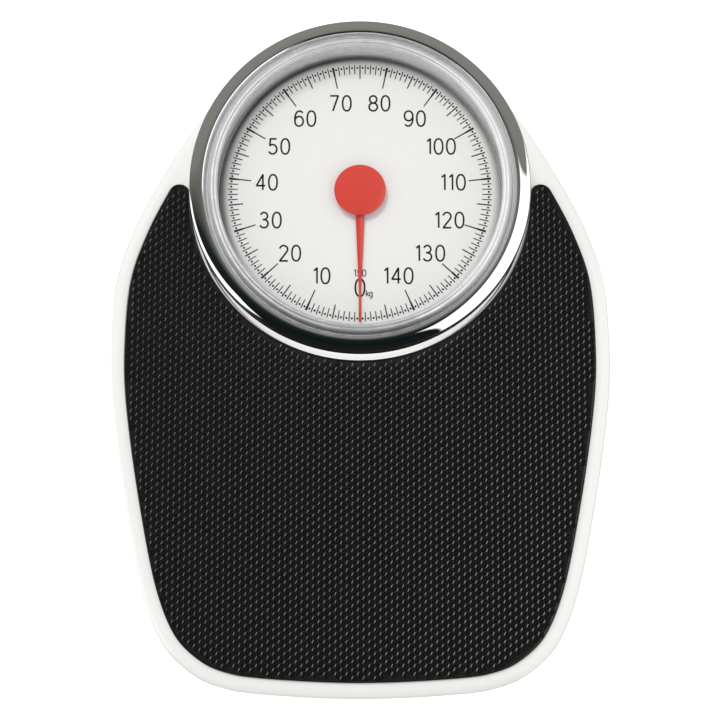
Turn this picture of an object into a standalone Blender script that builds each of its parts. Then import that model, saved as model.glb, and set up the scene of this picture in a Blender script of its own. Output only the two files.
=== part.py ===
"""Mechanical dial platform scale: a lever scale whose round dial stands in the far end of the platform.

The user stands on the tread mat, between the dial (+Y) and the front edge (-Y). The platform bears on two
V-shaped levers through four posts. The long lever's nose stretches the main spring and lets a crank draw the
rack past the pinion, which turns the pointer one full turn. Sizes are in millimetres and become metres as each
mesh is made. The origin is under the middle of the scale, on the floor.
"""

import math

import bmesh
import bpy
from mathutils import Vector

MM = 0.001
GAP = 0.3  # between two pieces that rest on each other
SLACK = 0.4  # at the working contacts of the linkage
RING_SIDES = 60  # flats around the dial head's rings

# platform
HALF_WIDTH = 158.0
FRONT_TO_DIAL = 315.7  # front edge to the dial's centre
BACK_RADIUS = 111.5  # the rim that passes behind the dial
BACK_SHIFT = 2.0  # that rim's centre, behind the dial's centre
BACK_TURN = math.radians(50)  # half of the rim's arc
PLATE_TOP = 45.0
PLATE_WALL = 1.2
EDGE_ROUND = 7.0
SKIRT_BOTTOM = 17.0
HOLE_GAP = 1.0  # between the dial housing and the platform's hole
HOLE_FLANGE = 4.0
MAT_THICK = 1.7
MAT_BORDER = 9.7
MAT_TIP = 7.2  # radius of the mat's two horn tips
MAT_SIDE_GAP = 2.5  # between the dial housing and the mat, beside the dial
MAT_FRONT_GAP = 0.7  # and in front of it

# dial head
HOUSING_RADIUS = 105.5
HOUSING_WALL = 2.5
HOUSING_BOTTOM = 36.0
WEB_BOTTOM = 46.5
WEB_TOP = 48.9
WEB_HOLE = 76.0
RIM_HEIGHT = 71.0  # where the bezel begins
BEZEL_INNER = 97.3
BEZEL_TOP = 79.4
BEZEL_WALL = 1.2
LENS_FLAT = 88.3
LENS_TOP = 78.2
LENS_WALL = 2.0
DIAL_RADIUS = 90.0
DIAL_FLAT = 84.5
DIAL_FACE = 56.2
DIAL_THICK = 0.8
LENS_FOOT = DIAL_RADIUS + GAP  # the lens stands around the dial's edge

# base
TRAY_GAP = 2.0  # between the skirt and the tray
TRAY_WALL = 1.2
TRAY_BOTTOM = 6.0
TRAY_TOP = 25.0
FOOT_RADIUS = 13.0
PILLAR_RADIUS = 4.5
PILLAR_CIRCLE = 92.0
SCREW_RADIUS = 2.0

# levers
LOAD_ARM = 28.0  # fulcrum to load, on both levers
EDGE_HEIGHT = 3.0
EDGE_WIDTH = 4.0
NOTCH_DEPTH = 2.4  # of the vee or slot that holds a knife edge
LEVER_THICK = 2.5
LEVER_WIDTH = 10.0
KNEE = 40.0  # how far the arms run side by side
LONG_BOTTOM = 22.0
SHORT_BOTTOM = 28.0
FRONT_SET = 49.6  # front edge to the long lever's fulcrum
REAR_SET = 31.1  # short lever's fulcrum, in front of the dial's centre
SIDE_SET = 18.0  # fulcrums, in from the platform's side
NOSE_HALF = 14.0

# movement
MODULE = 0.6
TEETH = 12
BACKLASH = 0.2
PRESSURE = math.radians(20)
RACK_ADDENDUM = 0.45
RACK_UNDER_PIN = 4.0  # rack's underside, below the crank's drive pin
RACK_THICK = 3.0
SHAFT_RADIUS = 1.5
BORE = SHAFT_RADIUS + GAP
CRANK_SET = 28.0  # crank's pivot, in front of the pinion
CRANK_FOLLOW = 15.0  # its arm over the lever's nose
CRANK_SWING = math.radians(52)
CRANK_LEFT = 9.5
CRANK_THICK = 2.0
PIN_RADIUS = 1.2  # the crank's drive pin
SPRING_SET = 57.1  # main spring, in front of the pinion
SPRING_WIRE = 1.8
SPRING_RADIUS = 6.0
ZERO_RADIUS = 13.0

# pointer
HUB_RADIUS = 16.3
NEEDLE_LENGTH = 84.0
NEEDLE_WIDTH = 5.0
NEEDLE_BOTTOM = 57.8
NEEDLE_THICK = 1.7
HUB_TOP = 63.2

# worked out from the above
LENGTH = FRONT_TO_DIAL + BACK_SHIFT + BACK_RADIUS
FRONT_Y = -LENGTH / 2
DIAL_Y = FRONT_Y + FRONT_TO_DIAL
PLATE_HOLE = HOUSING_RADIUS + HOLE_GAP
FLOOR = TRAY_BOTTOM + TRAY_WALL
SEAT = FLOOR + GAP  # what stands on the tray's floor
LONG_Y = FRONT_Y + FRONT_SET
SHORT_Y = DIAL_Y - REAR_SET
LINK_Y = (LONG_Y + SHORT_Y) / 2  # as far from one fulcrum as from the other
PITCH_RADIUS = MODULE * TEETH / 2
TOOTH_PITCH = math.pi * MODULE
RACK_TRAVEL = 2 * math.pi * PITCH_RADIUS
CRANK_ARM = RACK_TRAVEL / (2 * math.sin(CRANK_SWING / 2))
CRANK_Y = DIAL_Y - CRANK_SET
LEVER_TOP = LONG_BOTTOM + LEVER_THICK
FINGER = 1.5
CRANK_Z = LEVER_TOP + SLACK + FINGER - CRANK_FOLLOW * math.sin(CRANK_SWING / 2)
RACK_BOTTOM = round(CRANK_Z + CRANK_ARM * math.cos(CRANK_SWING / 2) - RACK_UNDER_PIN, 1)
NOSE_Y = CRANK_Y - CRANK_FOLLOW * math.cos(CRANK_SWING / 2)
NOSE_END = NOSE_Y + 1.9
SPRING_Y = DIAL_Y - SPRING_SET


# ---- mesh helpers

def material(name, colour, roughness, metallic=0.0):
    made = bpy.data.materials.new(name)
    made.use_nodes = True
    shader = made.node_tree.nodes["Principled BSDF"]
    shader.inputs["Base Color"].default_value = (*colour, 1.0)
    shader.inputs["Roughness"].default_value = roughness
    shader.inputs["Metallic"].default_value = metallic
    return made


def pivot(name, x, y, z):
    empty = bpy.data.objects.new(name, None)
    empty.location = (x * MM, y * MM, z * MM)
    bpy.context.collection.objects.link(empty)
    return empty


def finish(name, mesh, finish_of, at=(0, 0, 0), on=None, smooth=True):
    """One object from one mesh, at a place in the scale, carried by its joint's empty if it moves."""
    if smooth:
        mesh.shade_smooth()
        mesh.set_sharp_from_angle(angle=math.radians(35))
    thing = bpy.data.objects.new(name, mesh)
    thing.data.materials.append(finish_of)
    bpy.context.collection.objects.link(thing)
    thing.location = [v * MM for v in at]
    if on:
        thing.parent = on
        thing.location -= on.location
    return thing


def loft(rings, loop=False):
    """A closed skin through rings of equally many points: joined last to first, or capped at both ends.

    A ring of one point is a pole. The faces are turned outwards at the end.
    """
    bm = bmesh.new()
    made = [[bm.verts.new([v * MM for v in p]) for p in ring] for ring in rings]
    pairs = list(zip(made, made[1:]))
    if loop:
        pairs.append((made[-1], made[0]))
    for low, high in pairs:
        count = max(len(low), len(high))
        for i in range(count):
            j = (i + 1) % count
            corners = [low[i % len(low)], low[j % len(low)], high[j % len(high)], high[i % len(high)]]
            bm.faces.new(list(dict.fromkeys(corners)))
    if not loop:
        for ring in (made[0], made[-1]):
            if len(ring) > 2:
                bm.faces.new(ring)
    bmesh.ops.recalc_face_normals(bm, faces=bm.faces)
    mesh = bpy.data.meshes.new("part")
    bm.to_mesh(mesh)
    bm.free()
    return mesh


def circle(radius, z, sides, centre=(0.0, 0.0)):
    if radius == 0:
        return [(centre[0], centre[1], z)]
    turn = [2 * math.pi * i / sides for i in range(sides)]
    return [(centre[0] + radius * math.cos(a), centre[1] + radius * math.sin(a), z) for a in turn]


def turned(profile, sides, loop=False):
    """A profile of (radius, height) carried around the vertical axis."""
    return loft([circle(r, z, sides) for r, z in profile], loop)


def block(outline, low, high, along="z"):
    """A flat outline carried from low to high: along z it is in (x, y), along x in (y, z), along y in (x, z)."""
    place = {"z": lambda a, b, c: (a, b, c), "x": lambda a, b, c: (c, a, b), "y": lambda a, b, c: (a, c, b)}[along]
    return loft([[place(a, b, end) for a, b in outline] for end in (low, high)])


def box(x0, x1, y0, y1, z0, z1):
    return block([(x0, y0), (x1, y0), (x1, y1), (x0, y1)], z0, z1)


def arc(cx, cy, radius, start, end, steps):
    turn = [start + (end - start) * i / steps for i in range(steps + 1)]
    return [(cx + radius * math.cos(a), cy + radius * math.sin(a)) for a in turn]


def strip(path, width):
    """Outline of a strip of one width along a path, mitred at its bends."""
    path = [Vector(p) for p in path]
    runs = [(q - p).normalized() for p, q in zip(path, path[1:])]
    left, right = [], []
    for p, before, after in zip(path, runs[:1] + runs, runs + runs[-1:]):
        across = Vector((-before.y - after.y, before.x + after.x))
        across *= width / across.length_squared
        left.append(p + across)
        right.append(p - across)
    return left + right[::-1]


def combine(thing, mesh, operation):
    """Adds a shape to an object, or cuts it out, in the object's own place."""
    tool = bpy.data.objects.new(thing.name + "_tool", mesh)
    bpy.context.collection.objects.link(tool)
    tool.parent = thing.parent
    tool.location = thing.location
    tool.hide_render = True
    tool.display_type = "WIRE"
    change = thing.modifiers.new(operation.lower(), "BOOLEAN")
    change.operation = operation
    change.solver = "EXACT"
    change.object = tool


# ---- outlines

# the platform's right side from the front edge's middle, as shares of the half width and of the front-to-dial length
SIDE = [
    (0.0, 0.0), (0.418, 0.0105), (0.513, 0.018), (0.620, 0.037), (0.722, 0.075), (0.781, 0.113), (0.846, 0.190),
    (0.918, 0.347), (0.991, 0.584), (1.0, 0.689), (0.979, 0.834), (0.915, 0.933), (0.817, 1.032), (0.696, 1.132),
]


def spline(points, steps):
    """Centripetal Catmull-Rom curve through the inner points, with the first and last as its guides."""
    points = [Vector(p) for p in points]
    out = []
    for a, b, c, d in zip(points, points[1:], points[2:], points[3:]):
        ab, bc, cd = (math.sqrt((q - p).length) for p, q in ((a, b), (b, c), (c, d)))
        leave = (b - a) / ab - (c - a) / (ab + bc) + (c - b) / bc
        arrive = (c - b) / bc - (d - b) / (bc + cd) + (d - c) / cd
        for i in range(steps):
            t = i / steps
            out.append(
                b * (2 * t**3 - 3 * t**2 + 1) + leave * bc * (t**3 - 2 * t**2 + t)
                + c * (3 * t**2 - 2 * t**3) + arrive * bc * (t**3 - t**2)
            )
    return out + [points[-2]]


def platform_outline(inset=0.0, steps=3):
    """The platform's outline, anticlockwise from the middle of its front edge, moved inwards by inset."""
    side = [Vector((x * HALF_WIDTH, FRONT_Y + y * FRONT_TO_DIAL)) for x, y in SIDE]
    rim = [
        Vector(p)
        for p in arc(0, DIAL_Y + BACK_SHIFT, BACK_RADIUS, math.pi / 2 - BACK_TURN, math.pi / 2, 3 * steps)
    ]
    ahead = Vector((-side[1].x, side[1].y))
    right = spline([ahead, *side, rim[0], rim[1]], steps) + rim[1:]
    whole = right + [Vector((-p.x, p.y)) for p in reversed(right[1:-1])]
    inner = []
    for i, p in enumerate(whole):
        along = whole[(i + 1) % len(whole)] - whole[i - 1]
        inner.append(p + Vector((-along.y, along.x)).normalized() * inset)
    return inner


def half_width(y):
    """How far out the platform reaches at a distance from front to back."""
    points = platform_outline()
    sides = [(p, q) for p, q in zip(points, points[1:]) if p.x > 0 and p.y <= y < q.y]
    p, q = sides[0]
    return p.x + (q.x - p.x) * (y - p.y) / (q.y - p.y)


def mat_outline():
    """Inside the platform's outline by the border, round at both tips, and around the dial housing."""
    hole = HOUSING_RADIUS + MAT_SIDE_GAP
    closer = (HOUSING_RADIUS + MAT_FRONT_GAP) / hole
    edge = platform_outline(MAT_BORDER, 4)
    middles = platform_outline(MAT_BORDER + MAT_TIP, 4)
    dial = Vector((0, DIAL_Y))
    right = range(1, len(edge) // 2)
    end = next(i for i in right if edge[i].y > FRONT_Y + FRONT_TO_DIAL / 2
               and (middles[i] - dial).length < hole + MAT_TIP)
    near, far = middles[end - 1], middles[end]
    share = (hole + MAT_TIP - (near - dial).length) / ((far - dial).length - (near - dial).length)
    tip = near.lerp(far, share)
    out = edge[end] - middles[end]
    first = math.atan2(out.y, out.x)
    last = math.atan2(dial.y - tip.y, dial.x - tip.x) % (2 * math.pi)
    half = edge[:end] + [Vector(p) for p in arc(tip.x, tip.y, MAT_TIP, first, last, 8)]
    front = math.atan2(tip.y - dial.y, tip.x)
    hollow = arc(0, 0, hole, front, -math.pi / 2, 24)[1:]
    half += [Vector((x, DIAL_Y + y * closer)) for x, y in hollow]
    return half + [Vector((-p.x, p.y)) for p in reversed(half[1:-1])]


# ---- platform

def cover_mesh():
    """One pressing: skirt, rounded edge, flat top, and a short flange down around the dial housing."""
    outer = platform_outline()
    dial = Vector((0, DIAL_Y))
    hole = []
    room = []
    for p in outer:
        away = p - dial
        hole.append(dial + away.normalized() * PLATE_HOLE)
        room.append(min(EDGE_ROUND, 0.7 * (away.length - PLATE_HOLE - PLATE_WALL)))

    def edge(share, wall, drop):
        """A ring of the outline: share of the edge's rounding inwards and down, inside the wall."""
        inner = platform_outline(1.0)
        ring = []
        for p, q, r in zip(outer, inner, room):
            inwards = q - p
            radius = max(r - wall, 0.1)
            move = wall + radius * (1 - math.cos(share))
            up = PLATE_TOP - wall - radius * (1 - math.sin(share))
            place = p + inwards * move
            ring.append((place.x, place.y, up if drop is None else drop))
        return ring

    turns = [math.pi / 2 * i / 3 for i in range(4)]
    rings = [edge(0, 0, SKIRT_BOTTOM)]
    rings += [edge(t, 0, None) for t in turns]
    low = PLATE_TOP - HOLE_FLANGE
    flange = [dial + (p - dial).normalized() * (PLATE_HOLE + PLATE_WALL) for p in hole]
    rings.append([(p.x, p.y, PLATE_TOP) for p in hole])
    rings.append([(p.x, p.y, low) for p in hole])
    rings.append([(p.x, p.y, low) for p in flange])
    rings.append([(p.x, p.y, PLATE_TOP - PLATE_WALL) for p in flange])
    rings += [edge(t, PLATE_WALL, None) for t in reversed(turns)]
    rings.append(edge(0, PLATE_WALL, SKIRT_BOTTOM))
    return loft(rings, loop=True)


def notched(width, deep, low, high, notch, slot, hanging):
    """Outline of a stamped wall with one notch: a vee in its top, or a slot in its bottom."""
    if hanging:
        middle = [(slot / 2, low), (slot / 2, low + notch), (-slot / 2, low + notch), (-slot / 2, low)]
        return [(-deep / 2, low), (-width / 2, high), (width / 2, high), (deep / 2, low), *middle]
    middle = [(slot / 2, high), (0, high - notch), (-slot / 2, high)]
    return [(-width / 2, low), (width / 2, low), (deep / 2, high), *middle, (-deep / 2, high)]


def channel(name, finish_of, at, low, high, hanging, on=None):
    """A U-shaped stamping with a notch in both walls, which carries or bears on a knife edge."""
    wall = 1.6
    reach = 7.5
    plate = (high - wall, high) if hanging else (low, low + wall)
    outline = notched(18.0, 12.0, low, high, NOTCH_DEPTH, EDGE_WIDTH + 1.6, hanging)
    thing = finish(name, box(-reach, reach, -9, 9, *plate), finish_of, at, on, smooth=False)
    for side in (-1, 1):
        ends = sorted((side * reach, side * (reach - wall)))
        combine(thing, block(outline, *ends, along="x"), "UNION")
    return thing


def make_platform(on):
    finish("platform_cover", cover_mesh(), enamel, on=on)
    top = PLATE_TOP + GAP
    finish("tread_mat", block(mat_outline(), top, top + MAT_THICK), rubber, on=on)
    under = PLATE_TOP - PLATE_WALL - GAP
    for number, (x, y, bottom) in enumerate(edge_places("load"), 1):
        low = bottom + EDGE_HEIGHT - NOTCH_DEPTH + SLACK
        channel(f"load_post_{number}", zinc, (x, y, 0), low, under, True, on)


# ---- levers

def lever_line(y, long):
    """Half the distance between a lever's two arms at y: side by side as far as the knee, then closing in."""
    start, nose = (LONG_Y, NOSE_END) if long else (SHORT_Y, LINK_Y)
    wide = half_width(start) - SIDE_SET
    share = max(0, abs(y - start) - KNEE) / (abs(nose - start) - KNEE)
    return wide + (NOSE_HALF - LEVER_WIDTH / 2 - wide) * share


def edge_places(kind):
    """Where the knife edges are: (x, y, bottom of the edge), two on each lever."""
    out = []
    for long, y, bottom, way in ((True, LONG_Y, LONG_BOTTOM, 1), (False, SHORT_Y, SHORT_BOTTOM, -1)):
        at = y if kind == "fulcrum" else y + way * LOAD_ARM
        height = bottom - GAP - EDGE_HEIGHT if kind == "fulcrum" else bottom + LEVER_THICK + GAP
        out += [(side * lever_line(at, long), at, height) for side in (-1, 1)]
    return out


def knife_edge(down):
    """A hardened three-sided bar along X, with its edge down or up."""
    half = EDGE_WIDTH / 2
    outline = [(-half, EDGE_HEIGHT), (0, 0), (half, EDGE_HEIGHT)] if down else [(-half, 0), (half, 0), (0, EDGE_HEIGHT)]
    return block(outline, -9, 9, along="x")


def make_lever(name, long, on):
    start, nose, bottom = (LONG_Y, NOSE_END, LONG_BOTTOM) if long else (SHORT_Y, LINK_Y, SHORT_BOTTOM)
    way = 1 if long else -1
    top = bottom + LEVER_THICK
    deep = 26.0 if long else 14.0
    ends = [(-NOSE_HALF, nose - way * deep), (NOSE_HALF, nose - way * deep), (NOSE_HALF, nose), (-NOSE_HALF, nose)]
    plate = finish(name, block(ends, bottom, top), steel, on=on, smooth=False)
    stops = (start - way * 5, start + way * KNEE, nose - (5 if long else 0))
    for side in (-1, 1):
        arm = strip([(side * lever_line(y, long), y) for y in stops], LEVER_WIDTH)
        combine(plate, block(arm, bottom, top), "UNION")
    if long:
        reach = lever_line(LINK_Y, True)
        cross = [(-reach, LINK_Y - 5), (reach, LINK_Y - 5), (reach, LINK_Y + 5), (-reach, LINK_Y + 5)]
        combine(plate, block(cross, bottom, top), "UNION")
        hole = loft([circle(SCREW_RADIUS + 1.5, z, 24, (0, SPRING_Y)) for z in (bottom - 1, top + 1)])
        combine(plate, hole, "DIFFERENCE")
    return plate


def make_levers(long_on, short_on):
    make_lever("long_lever", True, long_on)
    make_lever("short_lever", False, short_on)
    for kind, down in (("fulcrum", True), ("load", False)):
        for number, at in enumerate(edge_places(kind), 1):
            on = long_on if number < 3 else short_on
            finish(f"{kind}_edge_{number}", knife_edge(down), steel, at, on, smooth=False)
    foot, head = LEVER_TOP + GAP, SHORT_BOTTOM - GAP
    link = [(-5, head), (-1, foot), (1, foot), (5, head)]
    finish("lever_link", block(link, -8, 8, along="x"), steel, (0, LINK_Y, 0), short_on, smooth=False)


# ---- base

def make_base():
    gap = PLATE_WALL + TRAY_GAP
    outer = platform_outline(gap)
    inner = platform_outline(gap + TRAY_WALL)
    rings = [
        [(p.x, p.y, z) for p in ring]
        for ring, z in ((inner, FLOOR), (inner, TRAY_TOP), (outer, TRAY_TOP), (outer, TRAY_BOTTOM))
    ]
    tray = finish("base_tray", loft(rings), enamel)
    holes = [(x, y, SCREW_RADIUS + 0.5) for x, y in pillar_places()] + [(0, SPRING_Y, SCREW_RADIUS + 0.5)]
    for x, y, radius in holes:
        cut = loft([circle(radius, z, 16, (x, y)) for z in (TRAY_BOTTOM - 1, FLOOR + 1)])
        combine(tray, cut, "DIFFERENCE")
    foot = [(0, 0), (FOOT_RADIUS - 2, 0), (FOOT_RADIUS - 0.5, 0.6), (FOOT_RADIUS, 1.8),
            (FOOT_RADIUS - 1.5, TRAY_BOTTOM - GAP), (0, TRAY_BOTTOM - GAP)]
    for number, (x, y, bottom) in enumerate(edge_places("fulcrum"), 1):
        finish(f"rubber_foot_{number}", turned(foot, 20), rubber, (x, y, 0))
        channel(f"fulcrum_bracket_{number}", zinc, (x, y, 0), SEAT, bottom + EDGE_HEIGHT - 0.8 - GAP, False)
    head, neck = 3.6, SEAT + 7
    screw = [(0, TRAY_BOTTOM - GAP - 2), (head - 0.6, TRAY_BOTTOM - GAP - 2), (head, TRAY_BOTTOM - GAP - 1),
             (head, TRAY_BOTTOM - GAP), (SCREW_RADIUS, TRAY_BOTTOM - GAP), (SCREW_RADIUS, neck), (0, neck)]
    bore = SCREW_RADIUS + GAP
    pillar = [(0, neck + 1), (bore, neck + 1), (bore, SEAT), (PILLAR_RADIUS, SEAT),
              (PILLAR_RADIUS, WEB_BOTTOM - GAP), (0, WEB_BOTTOM - GAP)]
    for number, (x, y) in enumerate(pillar_places(), 1):
        finish(f"pillar_screw_{number}", turned(screw, 10), steel, (x, y, 0))
        finish(f"housing_pillar_{number}", turned(pillar, 12), zinc, (x, y, 0))


def pillar_places():
    turn = [math.radians(45 + 90 * i) for i in range(4)]
    return [(PILLAR_CIRCLE * math.cos(a), DIAL_Y + PILLAR_CIRCLE * math.sin(a)) for a in turn]


# ---- dial head

def make_dial_head():
    at = (0, DIAL_Y, 0)
    inner = HOUSING_RADIUS - HOUSING_WALL
    flange = inner - 0.5
    housing = [
        (HOUSING_RADIUS, HOUSING_BOTTOM), (HOUSING_RADIUS, RIM_HEIGHT - GAP), (inner + 1.4, RIM_HEIGHT - GAP),
        (inner + 1.4, RIM_HEIGHT + 3), (inner - 0.1, RIM_HEIGHT + 3), (inner - 0.1, RIM_HEIGHT + GAP),
        (inner - 5, RIM_HEIGHT + GAP), (inner - 5, RIM_HEIGHT - 1.5), (inner, RIM_HEIGHT - 6),
        (inner, WEB_TOP), (WEB_HOLE, WEB_TOP), (WEB_HOLE, WEB_BOTTOM), (inner, WEB_BOTTOM), (inner, HOUSING_BOTTOM),
    ]
    finish("dial_housing", turned(housing, RING_SIDES, loop=True), housing_white, at)

    # the bezel: a quarter ellipse outside, rolled over at its inner edge down to the lens's flange
    crown = BEZEL_INNER + 1.3
    spring_line = RIM_HEIGHT + 1.2
    wide, tall = HOUSING_RADIUS + 1.1 - crown, BEZEL_TOP - spring_line
    lip = RIM_HEIGHT + 0.8 + LENS_WALL + GAP
    turns = [math.pi / 2 * i / 4 for i in range(5)]
    bezel = [(crown + wide - 0.1, RIM_HEIGHT)]
    bezel += [(crown + wide * math.cos(t), spring_line + tall * math.sin(t)) for t in turns]
    bezel += [(BEZEL_INNER + 0.3, BEZEL_TOP - 0.3), (BEZEL_INNER - 0.4, BEZEL_TOP - 1.4), (BEZEL_INNER - 0.7, lip)]
    bezel += [(BEZEL_INNER + 0.5, lip), (BEZEL_INNER + 0.7, BEZEL_TOP - 2.2)]
    wide, tall = wide - BEZEL_WALL, tall - BEZEL_WALL
    bezel += [(crown + wide * math.cos(t), spring_line + tall * math.sin(t)) for t in reversed(turns)]
    bezel.append((crown + wide - 0.1, RIM_HEIGHT))
    finish("chrome_bezel", turned(bezel, RING_SIDES, loop=True), chrome, at)

    # the lens: a window with a round shoulder, a flange under the bezel, and a wall down around the dial
    shoulder = BEZEL_INNER - 2.3
    low = RIM_HEIGHT + 0.6
    foot = WEB_TOP + GAP
    wide, tall = shoulder - LENS_FLAT, 3.0
    lens = [(0, LENS_TOP)]
    lens += [(LENS_FLAT + wide * math.sin(t), LENS_TOP - tall + tall * math.cos(t)) for t in turns[::2]]
    lens += [(shoulder, low + LENS_WALL + 0.2), (flange, low + LENS_WALL + 0.2), (flange, low), (shoulder - 0.2, low)]
    lens += [(LENS_FOOT + LENS_WALL, foot), (LENS_FOOT, foot), (shoulder - LENS_WALL - 0.2, low)]
    wide, tall = wide - LENS_WALL, tall - 1.0
    lens += [
        (LENS_FLAT + wide * math.sin(t), LENS_TOP - LENS_WALL - tall + tall * math.cos(t))
        for t in reversed(turns[::2])
    ]
    lens.append((0, LENS_TOP - LENS_WALL))
    finish("dial_lens", turned(lens, RING_SIDES), clear, at)

    # the dial: a flat disc whose border curves down onto the housing's web
    wide, tall = DIAL_RADIUS - DIAL_FLAT, DIAL_FACE - foot
    dial = [(BORE + 0.4, DIAL_FACE)]
    dial += [(DIAL_FLAT + wide * math.sin(t), foot + tall * math.cos(t)) for t in turns[::2]]
    wide, tall = wide - DIAL_THICK, tall - DIAL_THICK
    dial += [(DIAL_FLAT + wide * math.sin(t), foot + tall * math.cos(t)) for t in reversed(turns[::2])]
    dial.append((BORE + 0.4, DIAL_FACE - DIAL_THICK))
    finish("dial_plate", turned(dial, RING_SIDES, loop=True), dial_white, at)


# ---- movement

def tooth_half(radius):
    """Half the angle that an involute pinion tooth takes at a radius."""
    def involute(angle):
        return math.tan(angle) - angle

    base = PITCH_RADIUS * math.cos(PRESSURE)
    here = math.acos(base / max(radius, base))
    thick = (TOOTH_PITCH / 2 - BACKLASH) / 2
    return thick / PITCH_RADIUS + involute(PRESSURE) - involute(here)


def pinion_mesh(low, high):
    radii = [PITCH_RADIUS - MODULE * 1.25, PITCH_RADIUS * math.cos(PRESSURE), PITCH_RADIUS, PITCH_RADIUS + MODULE * 0.9]
    outline = []
    for tooth in range(TEETH):
        middle = 2 * math.pi * tooth / TEETH
        for sign, order in ((-1, radii), (1, radii[::-1])):
            for r in order:
                a = middle + sign * tooth_half(r)
                outline.append((r * math.cos(a), r * math.sin(a)))
    rings = [[(x, y, z) for x, y in outline] for z in (low, high)]
    start = -tooth_half(radii[0])
    bore = [
        (BORE * math.cos(start + 2 * math.pi * i / len(outline)), BORE * math.sin(start + 2 * math.pi * i / len(outline)))
        for i in range(len(outline))
    ]
    rings += [[(x, y, z) for x, y in bore] for z in (high, low)]
    return loft(rings, loop=True)


def make_rack(on):
    pin_y = CRANK_ARM * math.sin(CRANK_SWING / 2) + CRANK_Y
    front = pin_y + 3.9
    root = PITCH_RADIUS + MODULE * 1.25
    tip = PITCH_RADIUS - RACK_ADDENDUM
    back = root + 3.65
    half = (TOOTH_PITCH / 2 - BACKLASH) / 2
    lean = math.tan(PRESSURE)
    outline = [(back, front), (root, front)]
    count = math.ceil(RACK_TRAVEL / TOOTH_PITCH) + 2
    for k in range(-3, count):
        y = DIAL_Y + (k + 0.5) * TOOTH_PITCH
        deep, shallow = half + (root - PITCH_RADIUS) * lean, half - RACK_ADDENDUM * lean
        outline += [(root, y - deep), (tip, y - shallow), (tip, y + shallow), (root, y + deep)]
    end = DIAL_Y + (count + 0.5) * TOOTH_PITCH
    outline += [(root, end), (back, end)]
    rack = finish("rack", block(outline, RACK_BOTTOM, RACK_BOTTOM + RACK_THICK), brass, on=on, smooth=False)
    slot = PIN_RADIUS + 0.55
    prong = slot + 1.6
    low, floor, top = RACK_BOTTOM + 0.5, RACK_BOTTOM + 2.3, RACK_BOTTOM + 8.6
    fork = [
        (pin_y - prong, low), (front + 3, low), (front + 3, floor), (pin_y + prong, floor), (pin_y + prong, top),
        (pin_y + slot, top), (pin_y + slot, floor), (pin_y - slot, floor), (pin_y - slot, top), (pin_y - prong, top),
    ]
    combine(rack, block(fork, root + 0.65, root + 2.65, along="x"), "UNION")


def make_crank(on):
    """A bell crank: its finger rests on the long lever's nose, and its upright's pin works in the rack's fork."""
    lean = CRANK_SWING / 2
    follow, arm = CRANK_FOLLOW, CRANK_ARM
    hub, head = 4.0, 2.4
    level = [*arc(0, 0, hub, math.radians(183), math.radians(360), 8), (2.6, 5.5)]
    level += arc(0, arm, head, 0, math.pi, 6)
    level += [(-2.6, 5.5), (-4.5, 3.2)]
    level += arc(-follow, 0, FINGER, math.pi / 2, math.pi * 3 / 2, 6)
    level += [(-follow + 1.4, -0.6), (-follow + 2.6, -0.2)]
    rest = [
        (y * math.cos(lean) + z * math.sin(lean), -y * math.sin(lean) + z * math.cos(lean)) for y, z in level
    ]
    at = (0, CRANK_Y, CRANK_Z)
    crank = finish("crank", block(rest, CRANK_LEFT, CRANK_LEFT + CRANK_THICK, along="x"), steel, at, on)
    pin_y, pin_z = arm * math.sin(lean), arm * math.cos(lean)
    pin = arc(pin_y, pin_z, PIN_RADIUS, 0, 2 * math.pi, 16)[:-1]
    combine(crank, block(pin, CRANK_LEFT - 5, CRANK_LEFT + CRANK_THICK / 2, along="x"), "UNION")
    hole = arc(0, 0, BORE, 0, 2 * math.pi, 20)[:-1]
    combine(crank, block(hole, CRANK_LEFT - 1, CRANK_LEFT + CRANK_THICK + 1, along="x"), "DIFFERENCE")

    wall = 1.2
    left, right = CRANK_LEFT - GAP - wall, CRANK_LEFT + CRANK_THICK + GAP + wall
    top = CRANK_Z + 4.2
    ears = [
        (left, SEAT), (right, SEAT), (right, top), (right - wall, top), (right - wall, SEAT + wall),
        (left + wall, SEAT + wall), (left + wall, top), (left, top),
    ]
    bracket = finish("crank_bracket", block(ears, -5, 5, along="y"), zinc, (0, CRANK_Y, 0), smooth=False)
    through = [(y, z + CRANK_Z) for y, z in hole]
    combine(bracket, block(through, left - 1, right + 1, along="x"), "DIFFERENCE")
    shaft = arc(0, 0, SHAFT_RADIUS, 0, 2 * math.pi, 16)[:-1]
    finish("crank_pivot", block(shaft, left - 0.5, right + 0.5, along="x"), steel, at)


def bridge_mesh(half_span, half_deep, top, wall):
    """A strip bent into a bridge: two feet on the tray's floor, two legs and a top."""
    s, foot = half_span, half_span + 12
    outline = [
        (-foot, SEAT), (-s + wall, SEAT), (-s + wall, top - wall), (s - wall, top - wall), (s - wall, SEAT),
        (foot, SEAT), (foot, SEAT + wall), (s, SEAT + wall), (s, top), (-s, top), (-s, SEAT + wall),
        (-foot, SEAT + wall),
    ]
    return block(outline, -half_deep, half_deep, along="y")


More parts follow.
